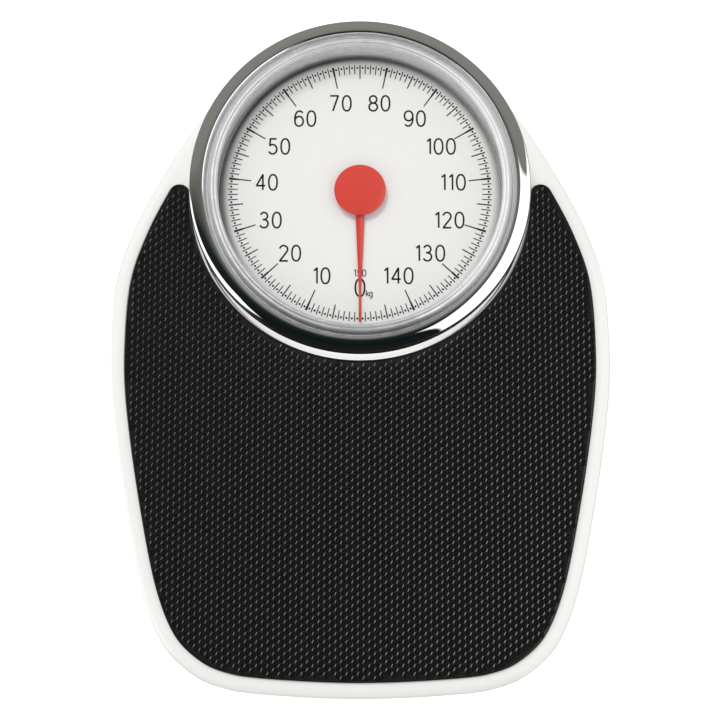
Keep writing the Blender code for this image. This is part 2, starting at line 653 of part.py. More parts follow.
def make_movement_frame():
    at = (0, DIAL_Y, 0)
    wall, top = 1.8, 48.0
    bridge = finish("movement_bridge", bridge_mesh(22, 11, top, wall), zinc, at, smooth=False)
    combine(bridge, loft([circle(BORE, z, 20) for z in (top - wall - 1, top + 1)]), "DIFFERENCE")
    foot = 14.0
    bearing = [(0, SEAT), (5, SEAT), (5, SEAT + 2), (3.5, SEAT + 2.5), (3.5, foot + 4), (BORE, foot + 4),
               (BORE, foot), (0, foot)]
    finish("shaft_bearing", turned(bearing, 20), brass, at)
    back = PITCH_RADIUS + MODULE * 1.25 + 3.65 + GAP
    shelf = RACK_BOTTOM - GAP
    guide = [(back - 3.1, shelf - 2.2), (back + 3, shelf - 2.2), (back + 3, top - wall - GAP),
             (back, top - wall - GAP), (back, shelf), (back - 3.1, shelf)]
    finish("rack_guide", block(guide, -7, 7, along="y"), nylon, at, smooth=False)

    # the hairspring takes up the play: its inner end on the shaft's collet, its outer end at the stud
    low, tall, thick = 20.0, 1.5, 0.3
    first, last, turns = 3.8, 11.0, 3.5
    steps = round(turns * 18)
    rings = []
    for i in range(steps + 1):
        a = math.pi / 2 + 2 * math.pi * turns * (i / steps - 1)
        r = first + (last - first) * i / steps
        rings.append([
            (q * math.cos(a), q * math.sin(a), z)
            for q, z in ((r - thick, low), (r + thick, low), (r + thick, low + tall), (r - thick, low + tall))
        ])
    finish("hair_spring", loft(rings), brass, at)
    stud = last + thick + GAP + 1.0
    finish("hair_spring_stud", turned([(0, SEAT), (1, SEAT), (1, low + 2.5), (0, low + 2.5)], 12), steel,
           (0, DIAL_Y + stud, 0))


def make_pointer(on):
    at = (0, DIAL_Y, 0)
    foot, tip = 14.3, HUB_TOP - 1.8
    finish("pinion_shaft", turned([(0, foot), (SHAFT_RADIUS, foot), (SHAFT_RADIUS, tip), (0, tip)], 16), steel, at, on)
    finish("pinion", pinion_mesh(RACK_BOTTOM - 1.5, RACK_BOTTOM + RACK_THICK + 1.5), brass, at, on, smooth=False)
    collet = [(BORE, 19.5), (3.2, 19.5), (3.2, 22.0), (BORE, 22.0)]
    finish("spring_collet", turned(collet, 20, loop=True), brass, at, on)

    boss = 6.0
    half = NEEDLE_WIDTH / 2
    open_angle = math.asin(half / boss)
    blade = arc(0, 0, boss, -math.pi / 2 + open_angle, math.pi * 3 / 2 - open_angle, 20)
    blade += [(-half, -HUB_RADIUS), (-0.35, -NEEDLE_LENGTH), (0.35, -NEEDLE_LENGTH), (half, -HUB_RADIUS)]
    top = NEEDLE_BOTTOM + NEEDLE_THICK
    needle = finish("pointer_needle", block(blade, NEEDLE_BOTTOM, top), pointer_red, at, on, smooth=False)
    combine(needle, loft([circle(BORE, z, 20) for z in (NEEDLE_BOTTOM - 1, top + 1)]), "DIFFERENCE")
    low = top + SLACK
    hub = [
        (0, tip + GAP), (BORE, tip + GAP), (BORE, low), (HUB_RADIUS - 0.4, low), (HUB_RADIUS, low + 0.5),
        (HUB_RADIUS, HUB_TOP - 2.0), (HUB_RADIUS - 1.1, HUB_TOP - 1.0), (HUB_RADIUS - 5, HUB_TOP - 0.4),
        (HUB_RADIUS / 3, HUB_TOP - 0.1), (0, HUB_TOP),
    ]
    finish("pointer_hub", turned(hub, 36), pointer_red, at, on)


# ---- main spring and its zero adjuster

def make_spring_bracket(wheel_on, carrier_on):
    at = (0, SPRING_Y, 0)
    top, wall, deep = 49.8, 1.8, 6.0
    span = max(31.8, lever_line(SPRING_Y - deep, True) + 9.5)  # clear of the long lever's arms
    finish("spring_bracket", bridge_mesh(span, deep, top, wall), zinc, at, smooth=False)
    low, high = 42.5, 45.5
    reach = span - wall - SLACK
    bar_outline = [(-reach, -deep), (reach, -deep), (reach, deep), (-reach, deep)]
    carrier = finish("spring_carrier", block(bar_outline, low, high), steel, at, carrier_on, smooth=False)
    bore = SCREW_RADIUS + GAP
    combine(carrier, loft([circle(bore, z, 20) for z in (low - 1, high + 1)]), "DIFFERENCE")

    half = SPRING_WIRE / 2
    first, last = LEVER_TOP + GAP + half, low - GAP - half
    turns = 6.5
    steps = round(turns * 12)
    rings = []
    for i in range(steps + 1):
        a = 2 * math.pi * turns * i / steps
        z = first + (last - first) * i / steps
        rings.append([
            ((SPRING_RADIUS + half * math.cos(b)) * math.cos(a), (SPRING_RADIUS + half * math.cos(b)) * math.sin(a),
             z + half * math.sin(b))
            for b in (2 * math.pi * k / 5 for k in range(5))
        ])
    finish("main_spring", loft(rings), steel, at)

    collar = SEAT + 1.3
    end = high + 1.5
    screw = [(0, 1.5), (SCREW_RADIUS, 1.5), (SCREW_RADIUS, SEAT), (SCREW_RADIUS + 2, SEAT),
             (SCREW_RADIUS + 2, collar), (SCREW_RADIUS, collar), (SCREW_RADIUS, end), (0, end)]
    finish("zero_screw", turned(screw, 16), steel, at, wheel_on)
    knurls = 30
    rim = [
        (r * math.cos(a), r * math.sin(a))
        for i in range(knurls)
        for r, a in ((ZERO_RADIUS, 2 * math.pi * i / knurls), (ZERO_RADIUS - 0.7, 2 * math.pi * (i + 0.5) / knurls))
    ]
    wheel = [[(x, y, z) for x, y in rim] for z in (1.3, TRAY_BOTTOM - 0.5)]
    wheel += [circle(bore, z, 2 * knurls) for z in (TRAY_BOTTOM - 0.5, 1.3)]
    finish("zero_wheel", loft(wheel, loop=True), black_plastic, at, wheel_on, smooth=False)


# ---- the whole scale

for old in list(bpy.data.objects):
    bpy.data.objects.remove(old)

enamel = material("white_enamel", (0.91, 0.91, 0.89), 0.3)
housing_white = material("white_housing", (0.9, 0.9, 0.88), 0.35)
rubber = material("black_rubber", (0.025, 0.025, 0.027), 0.6)
chrome = material("chrome", (0.8, 0.8, 0.8), 0.06, 1.0)
clear = material("clear_lens", (0.95, 0.97, 0.97), 0.05)
dial_white = material("dial_card", (0.85, 0.86, 0.84), 0.6)
pointer_red = material("pointer_red", (0.63, 0.09, 0.06), 0.35)
steel = material("steel", (0.45, 0.45, 0.46), 0.35, 1.0)
zinc = material("zinc_plated_steel", (0.6, 0.6, 0.58), 0.4, 1.0)
brass = material("brass", (0.72, 0.55, 0.25), 0.3, 1.0)
nylon = material("nylon", (0.85, 0.84, 0.78), 0.5)
black_plastic = material("black_plastic", (0.03, 0.03, 0.03), 0.45)

platform_slide = pivot("platform_slide", 0, 0, PLATE_TOP)
long_pivot = pivot("long_lever_pivot", 0, LONG_Y, LONG_BOTTOM - GAP - EDGE_HEIGHT)
short_pivot = pivot("short_lever_pivot", 0, SHORT_Y, SHORT_BOTTOM - GAP - EDGE_HEIGHT)
crank_axis = pivot("crank_axis", 0, CRANK_Y, CRANK_Z)
rack_slide = pivot("rack_slide", 0, DIAL_Y, RACK_BOTTOM)
pointer_axis = pivot("pointer_axis", 0, DIAL_Y, DIAL_FACE)
zero_axis = pivot("zero_axis", 0, SPRING_Y, TRAY_BOTTOM)
carrier_slide = pivot("carrier_slide", 0, SPRING_Y, LEVER_TOP)

make_platform(platform_slide)
make_levers(long_pivot, short_pivot)
make_base()
make_dial_head()
make_movement_frame()
make_rack(rack_slide)
make_crank(crank_axis)
make_pointer(pointer_axis)
make_spring_bracket(zero_axis, carrier_slide)
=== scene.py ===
import math

import bmesh
import bpy
import numpy as np
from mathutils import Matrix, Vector


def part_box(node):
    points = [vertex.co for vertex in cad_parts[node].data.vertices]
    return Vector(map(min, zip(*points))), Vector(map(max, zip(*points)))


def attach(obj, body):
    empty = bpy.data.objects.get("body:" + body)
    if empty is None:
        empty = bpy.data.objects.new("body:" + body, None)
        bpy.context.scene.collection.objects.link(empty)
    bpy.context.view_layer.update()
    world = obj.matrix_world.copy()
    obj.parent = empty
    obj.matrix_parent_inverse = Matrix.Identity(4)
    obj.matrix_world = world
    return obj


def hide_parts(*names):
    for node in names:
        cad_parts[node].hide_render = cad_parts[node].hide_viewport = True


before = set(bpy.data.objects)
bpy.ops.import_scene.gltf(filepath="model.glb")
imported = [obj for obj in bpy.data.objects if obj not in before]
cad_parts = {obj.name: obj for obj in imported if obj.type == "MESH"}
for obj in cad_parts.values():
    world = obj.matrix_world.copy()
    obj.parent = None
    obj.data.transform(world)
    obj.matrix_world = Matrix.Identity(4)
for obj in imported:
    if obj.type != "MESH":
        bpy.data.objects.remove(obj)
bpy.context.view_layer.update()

# Looks of a mechanical dial platform scale. Shapes are in millimetres until they go into a mesh.
# The user stands at -Y on the tread mat, and the dial is at the +Y end.

mm = 0.001


def span(node):
    # lowest and highest corner of a CAD node, in millimetres
    low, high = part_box(node)
    return np.array(low) / mm, np.array(high) / mm


housingLow, housingHigh = span("dial_housing")
coverLow, coverHigh = span("platform_cover")
matLow, matHigh = span("tread_mat")
bezelLow, bezelHigh = span("chrome_bezel")
dialCentre = (housingLow[:2] + housingHigh[:2]) / 2
dialCentre[0] = 0.0


view = {
    "target": (0.0, -0.0051, 0.047),
    "distance": 1.150,
    "tilt": math.radians(9.3),  # from straight down, towards the user
    "lens": 91.6,
    "sensor": 36.0,
    "near": 0.05,
    "far": 30,
}


def makeCamera():
    s = view
    data = bpy.data.cameras.new("studio_camera")
    data.lens = s["lens"]
    data.sensor_width = s["sensor"]
    camera = bpy.data.objects.new("studio_camera", data)
    bpy.context.scene.collection.objects.link(camera)
    away = Vector((0, -math.sin(s["tilt"]), math.cos(s["tilt"])))
    camera.location = Vector(s["target"]) + away * s["distance"]
    camera.rotation_euler = (s["tilt"], 0, 0)
    data.clip_start = s["near"]
    data.clip_end = s["far"]
    bpy.context.scene.camera = camera
    bpy.context.scene.view_settings.view_transform = "Standard"


class Wire:
    # one output socket; an operator on it adds a Math node
    def __init__(self, tree, socket):
        self.tree = tree
        self.socket = socket

    def __add__(self, other):
        return self.tree.maths("ADD", self, other)

    def __radd__(self, other):
        return self.tree.maths("ADD", other, self)

    def __sub__(self, other):
        return self.tree.maths("SUBTRACT", self, other)

    def __rsub__(self, other):
        return self.tree.maths("SUBTRACT", other, self)

    def __mul__(self, other):
        return self.tree.maths("MULTIPLY", self, other)

    def __rmul__(self, other):
        return self.tree.maths("MULTIPLY", other, self)

    def __truediv__(self, other):
        return self.tree.maths("DIVIDE", self, other)

    def rise(self, start, width):
        # 0 below start, 1 above start + width
        return self.tree.maths("MULTIPLY", self - start, 1 / width, clamp=True)


class Tree:
    # a node tree with one method that adds any node
    def __init__(self, nodeTree):
        self.nodeTree = nodeTree
        nodeTree.nodes.clear()

    def feed(self, socket, value):
        if isinstance(value, Wire):
            self.nodeTree.links.new(value.socket, socket)
        elif isinstance(value, tuple) and len(value) == 3 and socket.type == "RGBA":
            socket.default_value = (*value, 1.0)
        else:
            socket.default_value = value

    def node(self, kind, settings=None, sockets=None, out=0):
        made = self.nodeTree.nodes.new(kind)
        for name, value in (settings or {}).items():
            if name == "stops":
                self.setStops(made.color_ramp, value)
            else:
                setattr(made, name, value)
        for name, value in (sockets or {}).items():
            self.feed(made.inputs[name], value)
        return Wire(self, made.outputs[out]) if made.outputs else made

    def setStops(self, ramp, stops):
        while len(ramp.elements) < len(stops):
            ramp.elements.new(0.5)
        for element, (place, colour) in zip(ramp.elements, stops):
            element.position = place
            element.color = (*colour, 1.0)

    def maths(self, operation, *values, clamp=False):
        settings = {"operation": operation, "use_clamp": clamp}
        return self.node("ShaderNodeMath", settings, dict(enumerate(values)))

    def axes(self, vector):
        # the x, y and z of a vector
        split = self.node("ShaderNodeSeparateXYZ", None, {0: vector}).socket.node
        return [Wire(self, socket) for socket in split.outputs]

    def mixed(self, factor, a, b):
        # a colour between a and b
        return self.node("ShaderNodeMix", {"data_type": "RGBA"}, {0: factor, 6: a, 7: b}, out=2)

    def place(self, scale=(1, 1, 1)):
        # Object coordinates, stretched
        at = self.node("ShaderNodeTexCoord", out="Object")
        return self.node("ShaderNodeMapping", None, {"Vector": at, "Scale": scale})

    def aroundDial(self):
        # height, distance from the dial's axis, and the shares of it that go to the right and to the back
        x, y, z = self.axes(self.node("ShaderNodeTexCoord", out="Object"))
        y = y - dialCentre[1] * mm
        radius = self.maths("SQRT", x * x + y * y)
        return z, radius, x / radius, y / radius

    def noise(self, scale, detail=2.0, roughness=0.5, stretch=(1, 1, 1)):
        sockets = {"Vector": self.place(stretch), "Scale": scale, "Detail": detail, "Roughness": roughness}
        return self.node("ShaderNodeTexNoise", None, sockets)

    def bump(self, height, depth):
        # relief from a pattern, with its depth in millimetres
        return self.node("ShaderNodeBump", None, {"Height": height, "Distance": depth * mm})


studio = {
    "dome": 0.80,  # light from all round
    "background": 1.0,  # what the camera sees of it
    "tint": (1.0, 1.0, 0.995),
    "card": (1.25, 1.25, 1.25),
    "soft": 0.05,  # width of a card's blurred edge
    "room": [  # from the user's side to the back
        (0.0, (0.010, 0.011, 0.010)), (0.25, (0.004, 0.009, 0.009)), (0.50, (0.012, 0.018, 0.017)),
        (0.58, (0.075, 0.077, 0.067)), (0.68, (0.200, 0.203, 0.185)), (1.0, (0.225, 0.228, 0.205)),
    ],
}


def makeWorld():
    # soft white light all round for the matt surfaces; gloss sees a dark room with a white card at each side;
    # a card is a product of rises, each of which is 1 on one side of a plane through the middle of the room
    s = studio
    world = bpy.data.worlds.new("studio")
    bpy.context.scene.world = world
    world.use_nodes = True
    world.cycles.sampling_method = "NONE"
    tree = Tree(world.node_tree)
    x, y, z = tree.axes(tree.node("ShaderNodeTexCoord", out="Generated"))
    soft = s["soft"]
    high = (0.31 - y).rise(0, 0.03) * x.rise(0.22, 0.08)
    low = (0.37 * x - 0.93 * y - 0.30 * z).rise(0, soft)
    rightCard = tree.maths("MAXIMUM", high, low) * x.rise(0, soft) * (y + 1.45 * x).rise(0, soft)
    rightCard = rightCard * z.rise(-0.66, 0.08)
    left = -1 * x
    leftCard = left.rise(0, soft) * (-0.09 * left - 1.14 * y - z).rise(0, soft)
    leftCard = leftCard * (0.41 * left + 0.43 * y + 0.22 * z).rise(0, soft)
    leftCard = leftCard * (0.1 * left - y - 0.25 * z).rise(0, soft)
    leftCard = leftCard * (1.38 * left + y - 1.26 * z).rise(0, soft)
    room = tree.node("ShaderNodeValToRGB", {"stops": s["room"]}, {0: y * 0.5 + 0.5})
    seen = tree.mixed(rightCard, room, s["card"])
    seen = tree.mixed(leftCard, seen, s["card"])
    camera = tree.node("ShaderNodeLightPath", out="Is Camera Ray")
    strength = s["dome"] + (s["background"] - s["dome"]) * camera
    dome = tree.node("ShaderNodeBackground", None, {"Color": s["tint"], "Strength": strength})
    cards = tree.node("ShaderNodeBackground", None, {"Color": seen, "Strength": 1.0})
    glossy = tree.node("ShaderNodeLightPath", out="Is Glossy Ray")
    shown = tree.node("ShaderNodeMixShader", None, {0: glossy, 1: dome, 2: cards})
    tree.node("ShaderNodeOutputWorld", None, {"Surface": shown})


studioFloor = {"half": 6.0, "white": (0.93, 0.93, 0.925, 1), "roughness": 0.9, "glow": 0.45}


def makeFloor():
    # a white square that glows a little, so that the background stays even
    s = studioFloor
    half = s["half"]
    corners = [(-half, -half, 0), (half, -half, 0), (half, half, 0), (-half, half, 0)]
    mesh = bpy.data.meshes.new("studio_floor")
    mesh.from_pydata(corners, [], [(0, 1, 2, 3)])
    floor = bpy.data.objects.new("studio_floor", mesh)
    bpy.context.scene.collection.objects.link(floor)
    finish = bpy.data.materials.new("studio_floor")
    finish.use_nodes = True
    shader = finish.node_tree.nodes["Principled BSDF"]
    shader.inputs["Base Color"].default_value = s["white"]
    shader.inputs["Roughness"].default_value = s["roughness"]
    shader.inputs["Emission Color"].default_value = (1, 1, 1, 1)
    shader.inputs["Emission Strength"].default_value = s["glow"]
    mesh.materials.append(finish)
    floor.visible_glossy = False


suns = {  # azimuth is counted from +X towards +Y, and angles are in degrees
    "key": {"azimuth": 115, "elevation": 58, "strength": 1.0, "softness": 14, "shines": False},
    "mat_light": {"azimuth": 150, "elevation": 26, "strength": 7.5, "softness": 24, "shines": True},
    "housing_light": {"azimuth": -90, "elevation": 30, "strength": 3.0, "softness": 60, "shines": False},
}


def makeSun(name, only=()):
    # a soft sun; one that is only for some pieces is shaded by those alone
    s = suns[name]
    data = bpy.data.lights.new(name, "SUN")
    data.energy = s["strength"]
    data.angle = math.radians(s["softness"])
    sun = bpy.data.objects.new(name, data)
    bpy.context.scene.collection.objects.link(sun)
    a, e = math.radians(s["azimuth"]), math.radians(s["elevation"])
    way = Vector((math.cos(a) * math.cos(e), math.sin(a) * math.cos(e), math.sin(e)))
    sun.rotation_euler = way.to_track_quat("Z", "Y").to_euler()
    sun.visible_glossy = s["shines"]
    if only:
        group = bpy.data.collections.new(name + "_lights_only")
        for piece in only:
            group.objects.link(piece)
        sun.light_linking.receiver_collection = group
        sun.light_linking.blocker_collection = group


makeCamera()
makeWorld()
makeFloor()
print("camera, world and floor are in place")


def finishOf(name, build, **constants):
    # a material: build(tree) gives the sockets that vary, and constants sit on the shader's own sockets
    made = bpy.data.materials.new(name)
    made.use_nodes = True
    tree = Tree(made.node_tree)
    shader = tree.node("ShaderNodeBsdfPrincipled", None, {**constants, **build(tree)})
    tree.node("ShaderNodeOutputMaterial", None, {"Surface": shader})
    return made


def enamelBuild(tree):
    # sprayed enamel: orange peel, and a faint unevenness of tone
    peel = tree.noise(900, 2)
    tone = tree.noise(18, 3)
    return {
        "Base Color": tree.mixed(tone, (0.868, 0.862, 0.838), (0.886, 0.880, 0.858)),
        "Roughness": 0.26 + 0.08 * tree.noise(60, 2),
        "Normal": tree.bump(peel, 0.01),
    }


def housingBuild(tree):
    # moulded white plastic with a fine spark-eroded grain
    grain = tree.noise(2600, 1)
    return {
        "Base Color": tree.mixed(tree.noise(30, 2), (0.86, 0.857, 0.84), (0.89, 0.886, 0.868)),
        "Roughness": 0.34 + 0.1 * tree.noise(300, 2),
        "Normal": tree.bump(grain, 0.01),
    }


rubberLook = {
    "worn": ((0.0040, 0.0040, 0.0041), (0.0055, 0.0055, 0.0055)),
    # painted shade: colour of the studs' flat tops, darker than the rest of the rubber
    "tops": (0.0018, 0.0018, 0.0019),
    "paintedTopShadeBelow": 0.30,  # depth under the mat's highest point where the painted shade on the studs' tops starts
    "paintedTopShadeBlend": 0.25,
    "pits": 0.003,
}


def rubberBuild(tree):
    # moulded black rubber: a little greyer in patches, with painted shade that darkens the studs' tops, and
    # finely pitted
    s = rubberLook
    _, _, z = tree.axes(tree.place())
    # painted shade: a mask by height that darkens the studs' tops
    tops = z.rise((matHigh[2] - s["paintedTopShadeBelow"]) * mm, s["paintedTopShadeBlend"] * mm)
    worn = tree.mixed(tree.noise(14, 4, 0.6), *s["worn"])
    return {
        "Base Color": tree.mixed(tops, worn, s["tops"]),
        "Roughness": 0.36 + 0.06 * tree.noise(500, 2),
        "Normal": tree.bump(tree.noise(1800, 2), s["pits"]),
    }


def chromeBuild(tree):
    # bright chrome plate: almost perfect, with a trace of polishing haze
    haze = tree.noise(120, 3)
    return {
        "Base Color": tree.mixed(haze, (0.93, 0.935, 0.935), (0.96, 0.962, 0.96)),
        "Roughness": 0.02 + 0.03 * haze,
    }


lensLook = {
    "wallTop": 73.5,  # height up to which the wall goes
    "wallBlend": 0.5,
    "windowEdge": 88.3,
    "windowBlend": 1.0,
    # height up to which the painted shadow line at the wall's foot reaches
    "paintedShadowTop": 49.4,
    "paintedShadowBlend": 1.0,
    "ringTurn": 5.2,  # radians of the painted highlight rings' sine for each millimetre
    "shade": ((0.20, 0.21, 0.27), (0.50, 0.50, 0.53)),  # painted shade, front, back
    # colour of the painted highlights
    "paintedHighlight": (0.97, 0.97, 0.97),
    # colour of the painted shadow line at the wall's foot
    "paintedShadowLine": (0.05, 0.05, 0.05),
}


def lensBuild(tree):
    # clear plastic: the window is almost unseen; shoulder and wall carry painted highlights in rings,
    # sin(turn * way), with painted glints, painted light on the right and left, painted shade at the front
    # and a painted shadow line at the wall's foot at the back
    s = lensLook
    z, radius, right, back = tree.aroundDial()
    back = back * 0.5 + 0.5
    # painted light: the right and left sides are made paler
    paintedSideLight = tree.maths("MAXIMUM", right.rise(0.1, 0.7), (-0.7 * right).rise(0.15, 0.7))
    upper = z.rise(s["wallTop"] * mm, s["wallBlend"] * mm)
    shoulder = radius.rise(s["windowEdge"] * mm, s["windowBlend"] * mm) * upper
    # painted highlights: pale rings across the shoulder and the wall
    paintedRingWave = tree.maths("SINE", (radius * 0.8 + z) * (s["ringTurn"] / mm))
    rings = (paintedRingWave * 0.5 + 0.5).rise(0.25, 0.5)
    # painted glints
    paintedGlints = tree.noise(160, 3, 0.6).rise(0.35, 0.3)
    paintedHighlight = tree.maths("MAXIMUM", rings * 0.7 + 0.3 * paintedGlints, paintedSideLight * 0.8)
    # painted shadow: a dark line at the wall's foot, strongest at the back and weaker on the paler sides
    foot = (1 - z.rise(s["paintedShadowTop"] * mm, s["paintedShadowBlend"] * mm)) * back * (1 - 0.8 * paintedSideLight)
    # painted shade, darker at the front, under the painted highlights
    paintedLightAndShade = tree.mixed(paintedHighlight, tree.mixed(back, *s["shade"]), s["paintedHighlight"])
    onShoulder = shoulder * (0.22 + 0.50 * rings + 0.40 * paintedSideLight)
    onWall = (1 - upper) * (0.62 + 0.12 * rings + 0.2 * foot)
    return {
        "Base Color": tree.mixed(foot, paintedLightAndShade, s["paintedShadowLine"]),
        "Metallic": shoulder * 0.35 * (1 - paintedSideLight),
        "Alpha": 0.004 + onShoulder + onWall,
    }


cardLook = {
    "tones": ((0.845, 0.848, 0.826), (0.865, 0.868, 0.846)),
    # colour of the painted shadow at the card's border
    "border": (0.05, 0.05, 0.05),
    "paintedShadowFrom": 81.5,
    "paintedShadowWide": 5.8,
    "tooth": 0.02,
}


def dialBuild(tree):
    # painted card: fine tooth, and a painted shadow that darkens its border where it turns down, most of all
    # at the back and least on the right
    s = cardLook
    _, radius, right, back = tree.aroundDial()
    # painted shadow: darkens the border as it turns down, most at the back, least on the right
    border = radius.rise(s["paintedShadowFrom"] * mm, s["paintedShadowWide"] * mm)
    border = border * (0.40 + 0.60 * border) * (0.52 + 0.42 * back - 0.24 * right)
    card = tree.mixed(tree.noise(220, 3), *s["tones"])
    return {
        "Base Color": tree.mixed(border, card, s["border"]),
        "Roughness": 0.5 + 0.15 * tree.noise(900, 1),
        "Normal": tree.bump(tree.noise(1400, 2), s["tooth"]),
    }


def inkBuild(tree):
    # screen-printed black, a little uneven
    return {
        "Base Color": tree.mixed(tree.noise(700, 2), (0.006, 0.006, 0.007), (0.018, 0.018, 0.019)),
        "Roughness": 0.45 + 0.15 * tree.noise(900, 1),
    }


def redBuild(tree):
    # lacquered red plastic
    return {
        "Base Color": tree.mixed(tree.noise(90, 2), (0.66, 0.045, 0.028), (0.73, 0.055, 0.036)),
        "Roughness": 0.30 + 0.08 * tree.noise(260, 2),
        "Normal": tree.bump(tree.noise(1600, 1), 0.006),
    }


def steelBuild(tree):
    # cold-rolled steel: rolling streaks across the strip, and a few darker oil marks
    streak = tree.noise(420, 3, 0.6, (0.06, 1, 1))
    marks = tree.noise(40, 4, 0.6).rise(0.52, 0.2)
    return {
        "Base Color": tree.mixed(marks, (0.47, 0.47, 0.48), (0.34, 0.33, 0.32)),
        "Roughness": 0.28 + 0.22 * streak,
        "Normal": tree.bump(streak, 0.03),
    }


def groundBuild(tree):
    # hardened knife edges: heat-blued and ground along their length
    grind = tree.noise(900, 2, 0.5, (0.03, 1, 1))
    return {
        "Base Color": tree.mixed(tree.noise(60, 2), (0.25, 0.27, 0.33), (0.42, 0.41, 0.42)),
        "Roughness": 0.18 + 0.2 * grind,
        "Normal": tree.bump(grind, 0.02),
    }


def zincBuild(tree):
    # zinc plate: cloudy passivation with a warm tint in patches
    cloud = tree.noise(90, 4, 0.6)
    return {
        "Base Color": tree.mixed(cloud.rise(0.35, 0.3), (0.56, 0.57, 0.58), (0.66, 0.63, 0.52)),
        "Roughness": 0.3 + 0.25 * cloud,
        "Normal": tree.bump(tree.noise(900, 2), 0.02),
    }


def brassBuild(tree):
    # turned and stamped brass, slightly tarnished
    tarnish = tree.noise(70, 4, 0.6)
    return {
        "Base Color": tree.mixed(tarnish.rise(0.4, 0.3), (0.78, 0.60, 0.27), (0.50, 0.36, 0.16)),
        "Roughness": 0.22 + 0.25 * tarnish,
    }


def nylonBuild(tree):
    # natural nylon, slightly waxy
    return {
        "Base Color": tree.mixed(tree.noise(80, 2), (0.78, 0.76, 0.68), (0.86, 0.84, 0.77)),
        "Roughness": 0.4 + 0.15 * tree.noise(200, 2),
    }


def knobBuild(tree):
    # black moulded plastic with a fine grain, polished by fingers in places
    return {
        "Base Color": tree.mixed(tree.noise(120, 2), (0.018, 0.018, 0.019), (0.032, 0.032, 0.033)),
        "Roughness": 0.35 + 0.25 * tree.noise(40, 2),
        "Normal": tree.bump(tree.noise(2200, 1), 0.03),
    }


enamel = finishOf("white_enamel", enamelBuild, **{"Coat Weight": 0.3, "Coat Roughness": 0.1})
housingWhite = finishOf("moulded_white", housingBuild)
rubber = finishOf("black_rubber", rubberBuild, **{"Specular IOR Level": 0.18})
chrome = finishOf("chrome_plate", chromeBuild, Metallic=1.0)
clearPlastic = finishOf("clear_plastic", lensBuild, **{"Roughness": 0.04, "IOR": 1.49})
dialCard = finishOf("dial_card", dialBuild)
ink = finishOf("dial_ink", inkBuild, **{"Specular IOR Level": 0.2})
red = finishOf("pointer_red", redBuild, **{"Coat Weight": 0.4, "Coat Roughness": 0.12})
steel = finishOf("rolled_steel", steelBuild, Metallic=1.0)
groundSteel = finishOf("ground_steel", groundBuild, Metallic=1.0)
zinc = finishOf("zinc_plate", zincBuild, Metallic=1.0)
brass = finishOf("brass", brassBuild, Metallic=1.0)
nylon = finishOf("nylon", nylonBuild)
knobPlastic = finishOf("knob_plastic", knobBuild)
print("materials are made")


def gridFaces(rows, columns, wrapRows=False):
    # quads over rings of points, counted ring by ring; wrapRows joins the last ring to the first
    r = np.arange(rows if wrapRows else rows - 1)[:, None]
    c = np.arange(columns)[None, :]
    nextRow, nextColumn = (r + 1) % rows, (c + 1) % columns
    here, there = r * columns, nextRow * columns
    corners = [here + c, here + nextColumn, there + nextColumn, there + c]
    return np.stack(np.broadcast_arrays(*corners), -1).reshape(-1, 4)


def pieceOf(name, points, faceGroups, body, slotName, finish, replaces=(), sharp=35):
    # puts points in millimetres and arrays of faces into one object that rides on a body
    mesh = bpy.data.meshes.new(name)
    points = np.asarray(points, float).reshape(-1, 3) * mm
    mesh.vertices.add(len(points))
    mesh.vertices.foreach_set("co", points.astype(np.float32).ravel())
    sizes = np.concatenate([np.full(len(f), f.shape[1]) for f in faceGroups])
    corners = np.concatenate([f.ravel() for f in faceGroups])
    mesh.loops.add(len(corners))
    mesh.loops.foreach_set("vertex_index", corners.astype(np.int32))
    mesh.polygons.add(len(sizes))
    starts = np.concatenate([[0], np.cumsum(sizes)[:-1]])
    mesh.polygons.foreach_set("loop_start", starts.astype(np.int32))
    mesh.update(calc_edges=True)
    work = bmesh.new()
    work.from_mesh(mesh)
    bmesh.ops.remove_doubles(work, verts=work.verts, dist=1e-7)
    bmesh.ops.recalc_face_normals(work, faces=work.faces)
    work.to_mesh(mesh)
    work.free()
    mesh.shade_smooth()
    mesh.set_sharp_from_angle(angle=math.radians(sharp))
    piece = bpy.data.objects.new(name, mesh)
    mesh.materials.append(finish)
    bpy.context.scene.collection.objects.link(piece)
    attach(piece, body)
    if replaces:
        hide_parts(*replaces)
    return piece


def turned(profile, sides, centre=dialCentre):
    # a profile (radius, height) carried round its axis: x = cx + r cos a, y = cy + r sin a
    a = np.linspace(0, 2 * math.pi, sides, endpoint=False)[None, :]
    r, z = profile[:, :1], profile[:, 1:]
    return np.stack(np.broadcast_arrays(centre[0] + r * np.cos(a), centre[1] + r * np.sin(a), z), -1)


def turnedPiece(name, profile, *labels, sides=240, loop=True, centre=dialCentre, sharp=35):
    # labels are the body, slot, finish and replaced nodes that pieceOf takes; the slot is not used
    faces = [gridFaces(len(profile), sides, wrapRows=loop)]
    return pieceOf(name, turned(profile, sides, centre), faces, *labels, sharp=sharp)


def ellipseArc(cx, cy, rx, ry, start, end, steps):
    # points on an ellipse from one angle to another, in degrees
    t = np.radians(np.linspace(start, end, steps + 1))
    return np.stack([cx + rx * np.cos(t), cy + ry * np.sin(t)], -1)


def rounded(corners, radius, steps=5, loop=True):
    # each corner q becomes a curve (1-t)^2 p + 2 t (1-t) q + t^2 r that starts and ends a radius from it
    corners = np.asarray(corners, float)
    t = np.linspace(0, 1, steps + 1)[:, None]
    out = []
    for i, q in enumerate(corners):
        if not loop and i in (0, len(corners) - 1):
            out.append(q[None])
            continue
        before, after = corners[i - 1] - q, corners[(i + 1) % len(corners)] - q
        p = q + before * min(radius / np.linalg.norm(before), 0.48)
        r = q + after * min(radius / np.linalg.norm(after), 0.48)
        out.append((1 - t) ** 2 * p + 2 * t * (1 - t) * q + t ** 2 * r)
    return np.concatenate(out)


